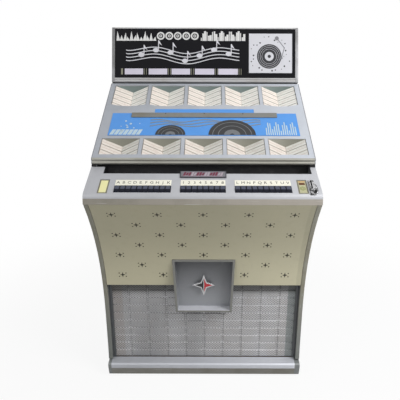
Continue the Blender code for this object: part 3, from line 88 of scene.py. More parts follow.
# Places on the cabinet, in metres. A setback is measured back from the front of the deck's lip.
FRONT_Y = CAD_BOX[0].y
HALF_WIDTH = CAD_BOX[1].x
DECK_REAR_SETBACK = 0.100
DECK_REAR_HEIGHT = 0.875
DECK_BEND_SETBACK = 0.0144
DECK_BEND_HEIGHT = 0.830
LIP_BOTTOM_HEIGHT = 0.792
LIP_TOP_HEIGHT = 0.8115
LID_FRONT_SETBACK = 0.134
LID_FRONT_HEIGHT = 0.923
LID_REAR_SETBACK = 0.524
LID_REAR_HEIGHT = 1.175
HEADER_TOP_SETBACK = 0.590
HEADER_TOP_HEIGHT = 1.400
PANEL_BOTTOM_HEIGHT = 0.417
WAIST_HEIGHT = 0.250
WAIST_SETBACK = 0.169
BODY_CURVE_POWER = 2.4
BOX_TOP_HEIGHT = 0.537
BOX_HALF_WIDTH = 0.119
BASE_SEAMS = (-0.382, 0.374)

# Front panel: its stars, from the first row below the lip, and the weave in its paint.
MOTIF_SETDOWN = 0.045
MOTIF_ROWS = 7
MOTIF_COLUMNS = 5
MOTIF_CLEARANCE = 0.02
WEAVE_PITCH = 0.0021

# Speaker grille: width and height of a diamond hole, pressed cells, and the strips at its ends.
MESH_PITCH = (0.0116, 0.0092)
GRILLE_ROWS = 10
GRILLE_COLUMNS = 10
REVEAL_WIDTH = 0.011
REVEAL_DEPTH = 0.004

# Header's glass: left and right ends of its cards, feet and heads of rows, a picture's corners.
HEADER_CARDS = (
    (-0.3403, -0.2625),
    (-0.2389, -0.1598),
    (-0.1416, -0.0632),
    (-0.0429, 0.0394),
    (0.0562, 0.1393),
)
CARD_BAND = (0.0345, 0.0595)
DIVIDER_BAND = (0.0340, 0.0600)
FRIEZE_BAND = (0.1775, 0.2210)
HEADER_PICTURE = ((0.186, 0.042), (0.369, 0.209))

# Key banks, measured down the deck from its rear edge.
KEY_PITCH = 0.0189
KEY_SETDOWN = 0.063
KEY_CREST = 0.0205
LETTER_BANK_CENTRE = 0.2013
KEY_BANKS = (
    ("abcdefghjk", -LETTER_BANK_CENTRE),
    ("12345678", 0),
    ("lmnpqrstuv", LETTER_BANK_CENTRE),
)
LABEL_SETDOWN = 0.0345
LABEL_LENGTH = 0.0278
LEGEND_SIZE = 0.0175
WINDOW_CENTRE = 0.3335
WINDOW_HALF_WIDTH = 0.017
WINDOW_SETDOWN = 0.031
WINDOW_LENGTH = 0.069
WINDOW_RECESS = 0.0015
WINDOW_BORDER = 0.0048

# Title banks and picture, measured down the lid from its rear edge.
BANKS = 5
BANK_PITCH = 0.1525
BANK_WIDTH = 0.139
RACK_TOP = 0.0043
STRIP_PITCH = 0.0284
STRIP_GAP = 0.0009
LID_FLANGE = 0.0025
UPPER_BANK = {"start": 0.0215, "rows": 5, "drop": 0.033, "fade": 1.0}
LOWER_BANK = {"start": 0.357, "rows": 3, "drop": 0.040, "fade": 0.86}
ART_START = 0.209
ART_LENGTH = 0.132
BAR_LENGTH = 0.0285
BAR_HALF_WIDTH = 0.282
BAR_HEIGHT = 0.003

# Records in the magazine.
RECORD_SLOTS = 32
RECORD_PITCH = 0.0155
RECORD_HOLE = 0.019
RECORD_LABEL = 0.044
RECORD_LIFT = 0.008
GROOVE_PITCH = 0.0012
GROOVE_BAND_PITCH = 0.011
MAGAZINE_SETBACK = 0.350
MAGAZINE_FOOT = 0.012

# The camera, fitted to the reference: pixels of the square picture, degrees, and millimetres.
CAMERA_FOCUS = 418.3
CAMERA_AXIS = 211.1
CAMERA_PITCH = 16.165
CAMERA_ROLL = 0.17
PICTURE_SIZE = 400
SENSOR_WIDTH = 36.0

# Thin layers, in metres: a print, a mark almost level with its ground, and a sunk foot.
PAINT_LAYER = 0.0003
FLUSH = 0.00018
SINK = 0.0002

# Meshes: how near vertices are joined, a soft edge of a board, and angles in degrees.
WELD = 0.00002
BOARD_EDGE = 0.0008
FLAT_ANGLE = 0.6
SHARP_ANGLE = 30
SMOOTH_ANGLE = 38
PRINT_ANGLE = 20

# Half width of the black strip behind the keys that stands in for the shade under the lid, and the
# white surroundings' strength as light.
SHADE_STRIP_REACH = 0.377
ROOM_LIGHT = 0.34

BLACK = (0.012, 0.012, 0.013, 1)
COLLECTION = "jukebox_dress"


def plane(setback, height, slope):
    """A flat side of the cabinet: x to the right, y up its slope, z out of it."""
    return Matrix.Translation((0, FRONT_Y + setback, height)) @ Matrix.Rotation(slope, 4, "X")


def slope_of(low, high):
    """The slope of a side between two points, each a setback and a height."""
    return math.atan2(high[1] - low[1], high[0] - low[0])


DECK = plane(
    DECK_REAR_SETBACK,
    DECK_REAR_HEIGHT,
    slope_of((DECK_BEND_SETBACK, DECK_BEND_HEIGHT), (DECK_REAR_SETBACK, DECK_REAR_HEIGHT)),
)
LID = plane(
    LID_REAR_SETBACK,
    LID_REAR_HEIGHT,
    slope_of((LID_FRONT_SETBACK, LID_FRONT_HEIGHT), (LID_REAR_SETBACK, LID_REAR_HEIGHT)),
)
HEADER = plane(
    LID_REAR_SETBACK,
    LID_REAR_HEIGHT,
    slope_of((LID_REAR_SETBACK, LID_REAR_HEIGHT), (HEADER_TOP_SETBACK, HEADER_TOP_HEIGHT)),
)
HEADER_LENGTH = math.hypot(
    HEADER_TOP_SETBACK - LID_REAR_SETBACK,
    HEADER_TOP_HEIGHT - LID_REAR_HEIGHT,
)


def front_setback(height):
    """How far the concave front stands back at a height."""
    if height <= WAIST_HEIGHT:
        return WAIST_SETBACK
    share = (height - WAIST_HEIGHT) / (LIP_BOTTOM_HEIGHT - WAIST_HEIGHT)
    return WAIST_SETBACK * (1 - share**BODY_CURVE_POWER)


def front_plane(height):
    """The plane that touches the concave front at a height."""
    step = 0.01
    low, high = height - step, height + step
    slope = slope_of((front_setback(low), low), (front_setback(high), high))
    return plane(front_setback(height), height, slope)


def spread(first, last, count):
    """Evenly spaced values from the first to the last."""
    return [first + (last - first) * step / (count - 1) for step in range(count)]


def colour_property(name, description, default):
    """An opaque colour that the sidebar shows."""
    return bpy.props.FloatVectorProperty(
        name=name,
        description=description,
        default=(*default, 1),
        size=4,
        min=0,
        max=1,
        subtype="COLOR",
    )


def length_property(name, description, default):
    """A length in metres that the sidebar shows."""
    return bpy.props.FloatProperty(
        name=name, description=description, default=default, unit="LENGTH"
    )


class JukeboxColours(bpy.types.PropertyGroup):
    """The colours of the jukebox's finishes."""

    satin: colour_property("Satin metal", "Key deck", (0.46, 0.467, 0.492))
    lid: colour_property("Lid metal", "Cooler satin metal of the lid", (0.445, 0.470, 0.515))
    lip: colour_property("Brushed lip", "Front of the deck", (0.42, 0.385, 0.34))
    trim: colour_property("Edge trims", "Mouldings down the front edges", (0.25, 0.245, 0.205))
    cream: colour_property("Front panel", "Painted panel under the deck", (0.46, 0.435, 0.31))
    motif: colour_property("Motifs", "Small stars on the front panel", (0.045, 0.04, 0.03))
    box: colour_property("Emblem box", "Tray that holds the emblem", (0.17, 0.175, 0.185))
    mesh: colour_property("Grille", "Pressed mesh in front of the speakers", (0.44, 0.44, 0.45))
    picture: colour_property("Picture ground", "Ground of the lid's picture", (0.09, 0.31, 0.76))
    bar: colour_property("Picture bar", "Metal bar across the picture", (0.21, 0.215, 0.205))
    warm_card: colour_property("Warm cards", "Left title strips of each bank", (0.87, 0.81, 0.74))
    cool_card: colour_property("Cool cards", "Right title strips of each bank", (1.0, 1.0, 0.94))
    label: colour_property("Key labels", "Strips with the keys' legends", (0.90, 0.88, 0.76))
    window_card: colour_property("Window cards", "Cards in the deck's windows", (0.88, 0.84, 0.44))
    side: colour_property("Side boards", "Laminate on the cabinet's sides", (0.13, 0.135, 0.145))
    board: colour_property("Boards", "Bare boards inside the cabinet", (0.30, 0.19, 0.10))
    enamel: colour_property("Enamel", "Right half of the emblem", (0.45, 0.02, 0.03))


class JukeboxSizes(bpy.types.PropertyGroup):
    """The sizes of the fine pieces and of the stage."""

    edge: length_property("Edge radius", "Softened edges of sheet metal", 0.0012)
    key_edge: length_property("Key edge radius", "Softened edges of a key", 0.00055)
    card: length_property("Card thickness", "Title strips and labels", 0.0007)
    card_rise: length_property("Card rise", "How far a strip's front edge stands up", 0.0012)
    motif: length_property("Motif size", "Height of a star on the front panel", 0.026)
    motif_pitch: length_property("Motif pitch", "From one star to the next along a row", 0.156)
    motif_row: length_property("Motif rows", "From one row of stars to the next", 0.047)
    record_thickness: length_property("Record thickness", "At the rim", 0.0016)
    record_radius: length_property("Record radius", "A seven inch record", 0.0884)
    camera_height: length_property("Camera height", "Above the floor", 1.1909)
    camera_distance: length_property("Camera distance", "In front of the deck's lip", 1.3165)
    camera_side: length_property("Camera side", "Right of the jukebox's middle", 0.0274)


class Wire:
    """A socket of a node set, with the arithmetic that patterns are written in."""

    def __init__(self, nodes, socket):
        self.nodes = nodes
        self.socket = socket

    def maths(self, operation, *values):
        """A Math node on some values and wires."""
        return self.nodes.add("ShaderNodeMath", {"operation": operation}, dict(enumerate(values)))

    def beside(self, name):
        """Another output of the same node."""
        return Wire(self.nodes, self.socket.node.outputs[name])

    def __add__(self, other):
        return self.maths("ADD", self, other)

    def __radd__(self, other):
        return self.maths("ADD", other, self)

    def __sub__(self, other):
        return self.maths("SUBTRACT", self, other)

    def __rsub__(self, other):
        return self.maths("SUBTRACT", other, self)

    def __mul__(self, other):
        return self.maths("MULTIPLY", self, other)

    def __rmul__(self, other):
        return self.maths("MULTIPLY", other, self)

    def __pow__(self, other):
        return self.maths("POWER", self, other)

    def __abs__(self):
        return self.maths("ABSOLUTE", self)

    def __gt__(self, other):
        return self.maths("GREATER_THAN", self, other)

    def __lt__(self, other):
        return self.maths("LESS_THAN", self, other)

    def wrap(self, low, high):
        """Repeats the value between two limits."""
        return self.maths("WRAP", self, high, low)

    def sine(self):
        """The sine of the value, in radians."""
        return self.maths("SINE", self)

    def ramp(self, low, high, first=0.0, last=1.0):
        """Rises from first to last as the value goes from low to high."""
        settings = {"clamp": True, "interpolation_type": "SMOOTHSTEP"}
        values = {0: self, 1: low, 2: high, 3: first, 4: last}
        return self.nodes.add("ShaderNodeMapRange", settings, values)


class NodeSet:
    """The nodes of a material or a world, added one by one."""

    def __init__(self, owner):
        owner.use_nodes = True
        self.tree = owner.node_tree

    def add(self, kind, settings=None, sockets=None, output=0):
        """Adds a node: its settings first, then the values or wires of its sockets."""
        node = self.tree.nodes.new(kind)
        for name, value in (settings or {}).items():
            setattr(node, name, value)
        for socket, value in (sockets or {}).items():
            self.feed(node.inputs[socket], value)
        return Wire(self, node.outputs[output])

    def feed(self, socket, value):
        """Links a wire to a socket, or sets the socket to a value."""
        if isinstance(value, Wire):
            self.tree.links.new(value.socket, socket)
        else:
            socket.default_value = value


class Finish(NodeSet):
    """A material in the making, wired to its surface."""

    def __init__(self, name, colour, roughness, metallic=0.0, **constants):
        self.material = bpy.data.materials.new(name)
        super().__init__(self.material)
        self.surface = self.tree.nodes["Principled BSDF"]
        self.colour = tuple(colour)
        self.wear(colour=self.colour, roughness=roughness, metallic=metallic)
        for socket, value in constants.items():
            title = socket.replace("_", " ").title().replace("Ior", "IOR")
            self.surface.inputs[title].default_value = value
        self.coordinates = self.add("ShaderNodeTexCoord", output="Object")

    def wear(self, colour=None, roughness=None, metallic=None, normal=None):
        """Feeds what changes over the surface."""
        given = {
            "Base Color": colour,
            "Roughness": roughness,
            "Metallic": metallic,
            "Normal": normal,
        }
        for name, value in given.items():
            if value is not None:
                self.feed(self.surface.inputs[name], value)
        return self.material

    def axes(self, vector=None):
        """The x, y and z of a position, as three wires."""
        x = self.add("ShaderNodeSeparateXYZ", sockets={0: vector or self.coordinates})
        return x, x.beside("Y"), x.beside("Z")

    def noise(self, scale, detail, stretch=(1, 1, 1), turn=(0, 0, 0), roughness=0.5):
        """Noise from 0 to 1, coarser along an axis whose stretch is below 1."""
        mapping = {0: self.coordinates, "Rotation": turn, "Scale": stretch}
        place = self.add("ShaderNodeMapping", sockets=mapping)
        values = {"Vector": place, "Scale": scale, "Detail": detail, "Roughness": roughness}
        return self.add("ShaderNodeTexNoise", sockets=values)

    def cells(self, scale):
        """Distance from the nearest of many scattered points."""
        values = {"Vector": self.coordinates, "Scale": scale}
        return self.add("ShaderNodeTexVoronoi", sockets=values)

    def mix(self, share, first, second, kind="MIX"):
        """The first colour, with a share of the second."""
        settings = {"data_type": "RGBA", "blend_type": kind}
        values = {0: share, 6: first, 7: second}
        return self.add("ShaderNodeMix", settings, values, output=2)

    def shade(self, colour, tone):
        """A colour made darker or lighter by a wire."""
        return self.mix(1.0, colour, tone, kind="MULTIPLY")

    def bump(self, height, depth, strength):
        """A relief of some depth in metres, for a height from 0 to 1."""
        values = {"Strength": strength, "Distance": depth, "Height": height}
        return self.add("ShaderNodeBump", sockets=values)


def satin_metal(name, colour, metallic=0.35, roughness=(0.40, 0.52), ends=None):
    """Satin metal with a speckle, clouds and smudges; ends are its tones at the left and right,
    painted light and shade across it.
    """
    clean, smudged = roughness
    finish = Finish(name, colour, clean, metallic)
    clouds = finish.noise(4.5, 4)
    speckle = finish.noise(900, 1)
    smudges = finish.noise(17, 5, roughness=0.62).ramp(0.42, 0.72)
    tone = 0.88 + clouds * 0.17 + speckle * 0.09 - smudges * 0.05
    # Painted light and shade: the tone runs from the left end's value to the right end's.
    if ends is not None:
        tone = tone * finish.axes()[0].ramp(-HALF_WIDTH, HALF_WIDTH, *ends)
    return finish.wear(
        colour=finish.shade(finish.colour, tone),
        roughness=clean + smudges * (smudged - clean) + speckle * 0.05,
        normal=finish.bump(speckle, 0.00012, 0.6),
    )


def brushed_metal(
    name, colour, along, stain, metallic=0.45, roughness=0.34, shaded_end=None, foot=None
):
    """Metal brushed along one axis, with streaks, scratches and a stained film.

    The stain is laid on more thickly towards the shaded end, as painted shade. A foot is the colour
    that upright trims take near the floor, and they are then a little lighter at the right, as
    painted light.
    """
    finish = Finish(name, colour, roughness, metallic)
    stretch = tuple(0.012 if axis == along else 1 for axis in "xyz")
    lines = finish.noise(1500, 2, stretch)
    streaks = finish.noise(160, 3, stretch)
    film = finish.noise(9, 5, roughness=0.6).ramp(0.38, 0.74)
    if shaded_end is not None:
        # Painted shade: more stain colour towards the shaded end.
        painted_shade_end = finish.axes()[0].ramp(shaded_end, -shaded_end, 0.95, 0.0)
        film = film * 0.35 + painted_shade_end * (0.6 + streaks * 0.4)
    drawn_out = tuple(0.02 if axis == along else 1 for axis in "xyz")
    nicks = finish.noise(420, 1, drawn_out, (0.05, 0.03, 0.04)).ramp(0.70, 0.76)
    tone = 0.80 + lines * 0.22 + streaks * 0.16
    stained = finish.mix(film * 0.55, finish.shade(finish.colour, tone), stain)
    if foot is not None:
        x, _, z = finish.axes()
        stained = finish.mix(z.ramp(0.14, 0.46, 0.85, 0.0), stained, foot)
        # Painted light: the upright trims are toned lighter towards the right.
        stained = finish.shade(stained, x.ramp(-HALF_WIDTH, HALF_WIDTH, 1.0, 1.22))
    return finish.wear(
        colour=finish.mix(nicks * 0.35, stained, (0.75, 0.74, 0.72, 1)),
        roughness=roughness + film * 0.22 + lines * 0.08,
        normal=finish.bump(lines + nicks * -0.6, 0.0001, 0.5),
    )


def chrome(name, tone=0.62, painted_reflection=0.0):
    """Bright plating with light pitting, and, if asked, painted dark reflections in places."""
    finish = Finish(name, (tone, tone, tone * 1.02, 1), 0.07, 1.0)
    film = finish.noise(26, 4).ramp(0.45, 0.8)
    pits = finish.cells(620).ramp(0.0, 0.12, 1.0, 0.0)
    # Painted reflection: dark areas stand for a darker room mirrored in the plating.
    reflection_patches = finish.noise(70, 3).ramp(0.46, 0.56) * painted_reflection
    worn = finish.shade(finish.colour, 1 - film * 0.16 - pits * 0.25 - reflection_patches)
    return finish.wear(colour=worn, roughness=0.06 + film * 0.16 + pits * 0.3)


def cream_paint(name, colour):
    """Semi-gloss paint over a fine embossed weave, yellowed and scuffed in places."""
    finish = Finish(name, colour, 0.42)
    x, _, z = finish.axes()
    thread = math.tau / WEAVE_PITCH
    weave = ((x + z) * thread).sine() * ((x - z) * thread).sine()
    age = finish.noise(3.2, 4)
    soil = finish.noise(38, 5, roughness=0.65).ramp(0.5, 0.78)
    scuffs = finish.noise(60, 3, (1, 1, 0.12), (0, 0.5, 0)).ramp(0.66, 0.74)
    # Painted light and shade: lighter low on the panel, darker under the deck's overhang.
    painted_shade_under_deck = z.ramp(PANEL_BOTTOM_HEIGHT, LIP_BOTTOM_HEIGHT - 0.1, 1.16, 0.90)
    # Painted light: lighter towards the right, then darker again in a narrow strip at the right
    # edge.
    painted_light_ramp = x.ramp(-0.05, 0.35, 1.0, 1.14) - x.ramp(0.356, 0.362, 0.0, 0.14)
    tone = (0.93 + age * 0.12 + weave * 0.035 - soil * 0.05) * painted_shade_under_deck * painted_light_ramp
    aged = finish.mix(age * 0.25, finish.shade(finish.colour, tone), (0.44, 0.39, 0.24, 1))
    return finish.wear(
        colour=finish.mix(scuffs * 0.12, aged, (0.30, 0.28, 0.22, 1)),
        roughness=0.36 + soil * 0.18 + weave * 0.04,
        normal=finish.bump(weave, 0.00018, 0.5),
    )


def grille_mesh(name, colour):
    """Expanded metal: strands round small diamond holes, with a painted highlight along each row,
    painted streaks of reflection, and painted shadow under the panel and at the right.
    """
    finish = Finish(name, colour, 0.32, 0.6)
    x, _, z = finish.axes()
    low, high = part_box("speaker_grille")
    cell = (PANEL_BOTTOM_HEIGHT - low.z) / GRILLE_ROWS
    column = (high.x - low.x) / GRILLE_COLUMNS
    ridge = abs((z - low.z).wrap(-cell / 2, cell / 2)).ramp(0.0016, 0.0046, 1.0, 0.0)
    seam = abs((x - low.x).wrap(-column / 2, column / 2)).ramp(0.0010, 0.0050, 1.0, 0.0)
    across, up = math.pi / MESH_PITCH[0], math.pi / MESH_PITCH[1]
    holes = abs((x * across + z * up).sine() * (x * across - z * up).sine())
    gaps = holes.ramp(0.26, 0.60)
    clouds = finish.noise(5, 4)
    # Painted reflection: sheen is streaks of brighter reflected light running up the grille.
    sheen = finish.noise(6, 3, (1, 1, 0.35)).ramp(0.34, 0.66)
    dust = finish.noise(30, 4, (1, 1, 0.6)).ramp(0.4, 0.75)
    # Painted highlight: a glint along each row's ridge and on the strands, strongest where the
    # sheen is.
    glint = ridge * (0.14 + sheen * 0.34) * (1 - gaps * 0.6) + holes.ramp(0.16, 0.0) * sheen * 0.50
    # Painted reflection: sheen also lightens the strands in streaks.
    tone = 0.62 + clouds * 0.40 + sheen * 0.18 + finish.noise(300, 1) * 0.30
    # Painted light: the strands are toned lighter towards the right.
    strands = finish.shade(finish.colour, tone * x.ramp(low.x, high.x, 0.92, 1.14))
    rust = finish.noise(4, 4, (1, 1, 0.35), roughness=0.6).ramp(0.52, 0.78) * 0.35 + dust * 0.15
    left_strip = x.ramp(low.x + 0.046, low.x + 0.056, 0.40, 0.0)
    dusty = finish.mix(rust + left_strip, strands, (0.32, 0.27, 0.23, 1))
    pierced = finish.mix(gaps * 0.56, dusty, (0.05, 0.05, 0.052, 1))
    # Painted light: the seams are lightened against the shade of their grooves.
    seamed = finish.mix(seam * 0.30, pierced, (0.50, 0.50, 0.51, 1))
    bright = finish.mix(glint, seamed, (0.74, 0.74, 0.77, 1))
    # Painted shadow: a dark teal strip at the right, where the side board shades the grille.
    painted_side_shadow = x.ramp(high.x - 0.044, high.x - 0.038, 0.0, 0.62)
    shaded = finish.mix(painted_side_shadow, bright, (0.12, 0.15, 0.15, 1))
    # Painted shadow: darker under the front panel's lower edge.
    painted_panel_shadow = z.ramp(PANEL_BOTTOM_HEIGHT - 0.062, PANEL_BOTTOM_HEIGHT - 0.030, 0.0, 0.80)
    return finish.wear(
        colour=finish.mix(painted_panel_shadow, shaded, (0.055, 0.055, 0.05, 1)),
        metallic=0.45 - gaps * 0.3 - dust * 0.10,
        roughness=0.34 + dust * 0.2 + gaps * 0.3,
        normal=finish.bump(1 - holes, 0.0008, 0.7),
    )


def plastic(name, colour, roughness, grain=0.0, shine=0.4):
    """Moulded plastic with a light film of dust and, if asked, a crackled grain."""
    finish = Finish(name, colour, roughness, specular_ior_level=shine)
    dust = finish.noise(48, 5, roughness=0.65).ramp(0.45, 0.8)
    leather = finish.cells(1300)
    lit = finish.mix(dust * 0.10, finish.colour, (0.35, 0.34, 0.33, 1))
    return finish.wear(
        colour=finish.mix(leather * grain * 0.25, lit, (0.16, 0.16, 0.17, 1)),
        roughness=roughness + dust * 0.16 + leather * grain * 0.2,
        normal=finish.bump(leather, 0.00025, grain),
    )


def paper_card(name, colour):
    """A printed title card: plain ground, a ruled border and a ruled band across its middle."""
    finish = Finish(name, colour, 0.62)
    place = finish.add("ShaderNodeUVMap", {"uv_map": "card"})
    across, up, _ = finish.axes(place)
    border = (abs(across - 0.5) > 0.475) + (abs(up - 0.5) > 0.44)
    rule = (abs(up - 0.5) < 0.07) * (abs(across - 0.5) < 0.46)
    fibres = finish.noise(420, 3)
    age = finish.noise(11, 3)
    ground = finish.shade(finish.colour, 0.90 + age * 0.16 + fibres * 0.05)
    lines = finish.noise(90, 2, (0.3, 1, 1)).ramp(0.52, 0.62) * (abs(abs(up - 0.5) - 0.24) < 0.07)
    ruled = finish.mix(rule * 0.34 + lines * 0.28, ground, (0.42, 0.22, 0.18, 1))
    return finish.wear(
        colour=finish.mix(border.ramp(0, 1) * 0.28, ruled, (0.33, 0.22, 0.17, 1)),
        roughness=0.55 + fibres * 0.14,
        normal=finish.bump(fibres, 0.00004, 0.5),
    )


def plain_print(name, colour, roughness=0.35, coat=0.0, shine=0.3):
    """A printed or painted layer, faintly uneven."""
    coating = {"coat_weight": coat, "coat_roughness": 0.06}
    finish = Finish(name, colour, roughness, specular_ior_level=shine, **coating)
    cloud = finish.noise(21, 4)
    grain = finish.noise(800, 1)
    tone = 0.92 + cloud * 0.12 + grain * 0.05
    return finish.wear(colour=finish.shade(finish.colour, tone), roughness=roughness + cloud * 0.08)


def laminate(name, colour):
    """Speckled laminate on the side boards."""
    finish = Finish(name, colour, 0.48)
    specks = finish.cells(620).ramp(0.0, 0.30, 1.0, 0.0)
    clouds = finish.noise(6, 4)
    grain = finish.noise(260, 3, (1, 1, 0.06))
    ground = finish.shade(finish.colour, 0.82 + clouds * 0.22 + grain * 0.18)
    return finish.wear(
        colour=finish.mix(specks * 0.35, ground, (0.40, 0.40, 0.38, 1)),
        roughness=0.42 + grain * 0.16,
        normal=finish.bump(grain + specks * 0.4, 0.0001, 0.5),
    )


def bare_board(name, colour):
    """Particle board and plywood, with grain along x."""
    finish = Finish(name, colour, 0.72)
    grain = finish.noise(130, 4, (0.05, 1, 1))
    rings = finish.noise(16, 3, (0.12, 1, 1))
    tone = 0.66 + grain * 0.38 + rings * 0.32
    return finish.wear(
        colour=finish.shade(finish.colour, tone),
        roughness=0.62 + grain * 0.2,
        normal=finish.bump(grain, 0.0003, 0.6),
    )


def zinc_plate(name):
    """Plated steel with a yellowish passivated cast."""
    finish = Finish(name, (0.50, 0.50, 0.48, 1), 0.34, 0.9)
    bloom = finish.noise(14, 4).ramp(0.35, 0.7)
    spangle = finish.cells(75)
    tone = 0.80 + spangle * 0.22
    return finish.wear(
        colour=finish.mix(bloom * 0.4, finish.shade(finish.colour, tone), (0.46, 0.40, 0.24, 1)),
        roughness=0.26 + spangle * 0.14 + bloom * 0.12,
    )


def vinyl(name):
    """Black record vinyl with turned grooves round the X axis."""
    finish = Finish(name, BLACK, 0.24)
    _, y, z = finish.axes()
    centre = record_centre()
    radius = ((y - centre.y) ** 2 + (z - centre.z) ** 2) ** 0.5
    groove = (radius * (math.tau / GROOVE_PITCH)).sine()
    pause = (radius * (math.tau / GROOVE_BAND_PITCH)).sine().ramp(0.9, 1.0)
    return finish.wear(
        colour=finish.shade(finish.colour, 1 + groove * 0.25 + pause * 0.8),
        roughness=0.22 + groove * 0.05 + pause * 0.1,
        normal=finish.bump(groove, 0.0001, 0.5),
    )


def record_centre():
    """Middle of the row of records in the magazine."""
    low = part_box("record_magazine")[0]
    radius = bpy.context.scene.jukebox_sizes.record_radius
    return Vector((0, FRONT_Y + MAGAZINE_SETBACK, low.z + MAGAZINE_FOOT + RECORD_LIFT + radius))


def block(shape, low, high, matrix=Matrix(), turn=Matrix()):
    """Adds a box between two corners, turned about its middle if asked."""
    low, high = Vector(low), Vector(high)
    size = Matrix.Diagonal((*(high - low), 1))
    place = matrix @ Matrix.Translation((low + high) / 2) @ turn @ size
    return bmesh.ops.create_cube(shape, size=1, matrix=place)["verts"]


def mesh_of(name, shape):
    """A new mesh with a bmesh's faces; the bmesh is used up."""
    mesh = bpy.data.meshes.new(name)
    shape.to_mesh(mesh)
    shape.free()
    return mesh


def pour(scratch, shape):
    """Moves a scratch bmesh's faces into a shape."""
    mesh = mesh_of("scratch", scratch)
    shape.from_mesh(mesh)
    bpy.data.meshes.remove(mesh)


def thicken(shape, faces, thickness):
    """Raises a closed body from flat faces, and gives its upper vertices."""
    raised = bmesh.ops.extrude_face_region(shape, geom=faces, use_keep_orig=True)["geom"]
    top = [item for item in raised if isinstance(item, bmesh.types.BMVert)]
    bmesh.ops.translate(shape, verts=top, vec=(0, 0, thickness))
    return top


def prism(shape, outline, thickness, matrix):
    """Adds a flat outline, raised by a thickness."""
    verts = [shape.verts.new((x, y, 0)) for x, y in outline]
    top = thicken(shape, [shape.faces.new(verts)], thickness)
    bmesh.ops.transform(shape, matrix=matrix, verts=verts + top)


def disc(shape, radius, x, y, thickness, matrix, steps=24, stretch=1.0):
    """Adds a flat disc whose first corner is to its right, stretched along x if asked."""
    stretched = Matrix.Translation((x, y, 0)) @ Matrix.Diagonal((stretch, 1, 1, 1))
    verts = bmesh.ops.create_circle(
        shape,
        cap_ends=True,
        segments=steps,
        radius=radius,
        matrix=stretched @ Matrix.Rotation(-math.pi / 2, 4, "Z"),
    )["verts"]
    top = thicken(shape, [verts[0].link_faces[0]], thickness)
    bmesh.ops.transform(shape, matrix=matrix, verts=verts + top)


def star_outline(radius, waist, squeeze=1.0):
    """The outline of a star with four points, the first one upwards."""
    outline = []
    for step in range(8):
        reach = waist if step % 2 else radius
        angle = math.pi / 4 * step
        outline.append((reach * math.sin(angle) * squeeze, reach * math.cos(angle)))
    return outline


def bar_outline(left, right, foot, head, lean=0.0):
    """The outline of a bar whose head is moved right by its lean."""
    return [(left, foot), (right, foot), (right + lean, head), (left + lean, head)]


def band(shape, x, y, radius, width, height, matrix, steps=48):
    """Adds a flat ring: an inset disc whose middle is left out."""
    scratch = bmesh.new()
    bmesh.ops.create_circle(scratch, cap_ends=True, segments=steps, radius=radius)
    scratch.normal_update()
    inset = bmesh.ops.inset_region(
        scratch,
        faces=scratch.faces[:],
        thickness=width,
        use_boundary=True,
        use_even_offset=True,
    )["faces"]
    middle = [face for face in scratch.faces if face not in inset]
    bmesh.ops.delete(scratch, geom=middle, context="FACES")
    thicken(scratch, scratch.faces[:], height)
    place = matrix @ Matrix.Translation((x, y, 0))
    bmesh.ops.transform(scratch, matrix=place, verts=scratch.verts)
    bmesh.ops.recalc_face_normals(scratch, faces=scratch.faces)
    pour(scratch, shape)


def stroke(shape, start, end, width, height, matrix):
    """Adds a straight printed line from one point to another."""
    start, end = Vector(start), Vector(end)
    turn = Matrix.Rotation(math.atan2(*(end - start).yx), 4, "Z")
    place = matrix @ Matrix.Translation((*((start + end) / 2), 0)) @ turn
    half = (end - start).length / 2 + width / 2
    block(shape, (-half, -width / 2, 0), (half, width / 2, height), place)


def ribbon_outline(points, width):
    """The outline of a line of some width through points that run from left to right."""
    upper = [(x, y + width / 2) for x, y in points]
    lower = [(x, y - width / 2) for x, y in points]
    return upper + lower[::-1]


def soften(shape, width, segments=2):
    """Bevels every sharp edge."""
    limit = math.radians(SHARP_ANGLE)
    folds = [edge for edge in shape.edges if len(edge.link_faces) == 2]
    bmesh.ops.bevel(
        shape,
        geom=[edge for edge in folds if edge.calc_face_angle(0) > limit],
        offset=width,
        segments=segments,
        profile=0.5,
        affect="EDGES",
        material=-1,
        clamp_overlap=True,
    )


def merged_copy(node):
    """A copy of a CAD node with its triangles joined into whole flats."""
    shape = bmesh.new()
    shape.from_mesh(frame["nodes"][node].data)
    bmesh.ops.remove_doubles(shape, verts=shape.verts, dist=WELD)
    flat = math.radians(FLAT_ANGLE)
    bmesh.ops.dissolve_limit(shape, angle_limit=flat, verts=shape.verts, edges=shape.edges)
    return shape


def add_piece(
    name,
    shape,
    finishes,
    body="cabinet",
    stands_for=(),
    smooth=SMOOTH_ANGLE,
    weighted=True,
):
    """Makes a bmesh a piece of the jukebox that rides on a body."""
    bmesh.ops.recalc_face_normals(shape, faces=shape.faces)
    mesh = mesh_of(name, shape)
    mesh.shade_smooth()
    mesh.set_sharp_from_angle(angle=math.radians(smooth))
    for finish in finishes if isinstance(finishes, (list, tuple)) else [finishes]:
        mesh.materials.append(finish)
    thing = bpy.data.objects.new(name, mesh)
    dress_collection().objects.link(thing)
    if weighted:
        step = thing.modifiers.new("flat_normals", "WEIGHTED_NORMAL")
        step.keep_sharp = True
    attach(thing, body)
    if stands_for:
        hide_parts(*stands_for)


def add_print(name, shape, finish, body="cabinet"):
    """Makes a bmesh of flat marks a piece, with crisp edges."""
    add_piece(name, shape, finish, body, smooth=PRINT_ANGLE)


def dress_collection():
    """The collection of the new pieces, made when the first one is."""
    found = bpy.data.collections.get(COLLECTION)
    if found is None:
        found = bpy.data.collections.new(COLLECTION)
        bpy.context.scene.collection.children.link(found)
    return found


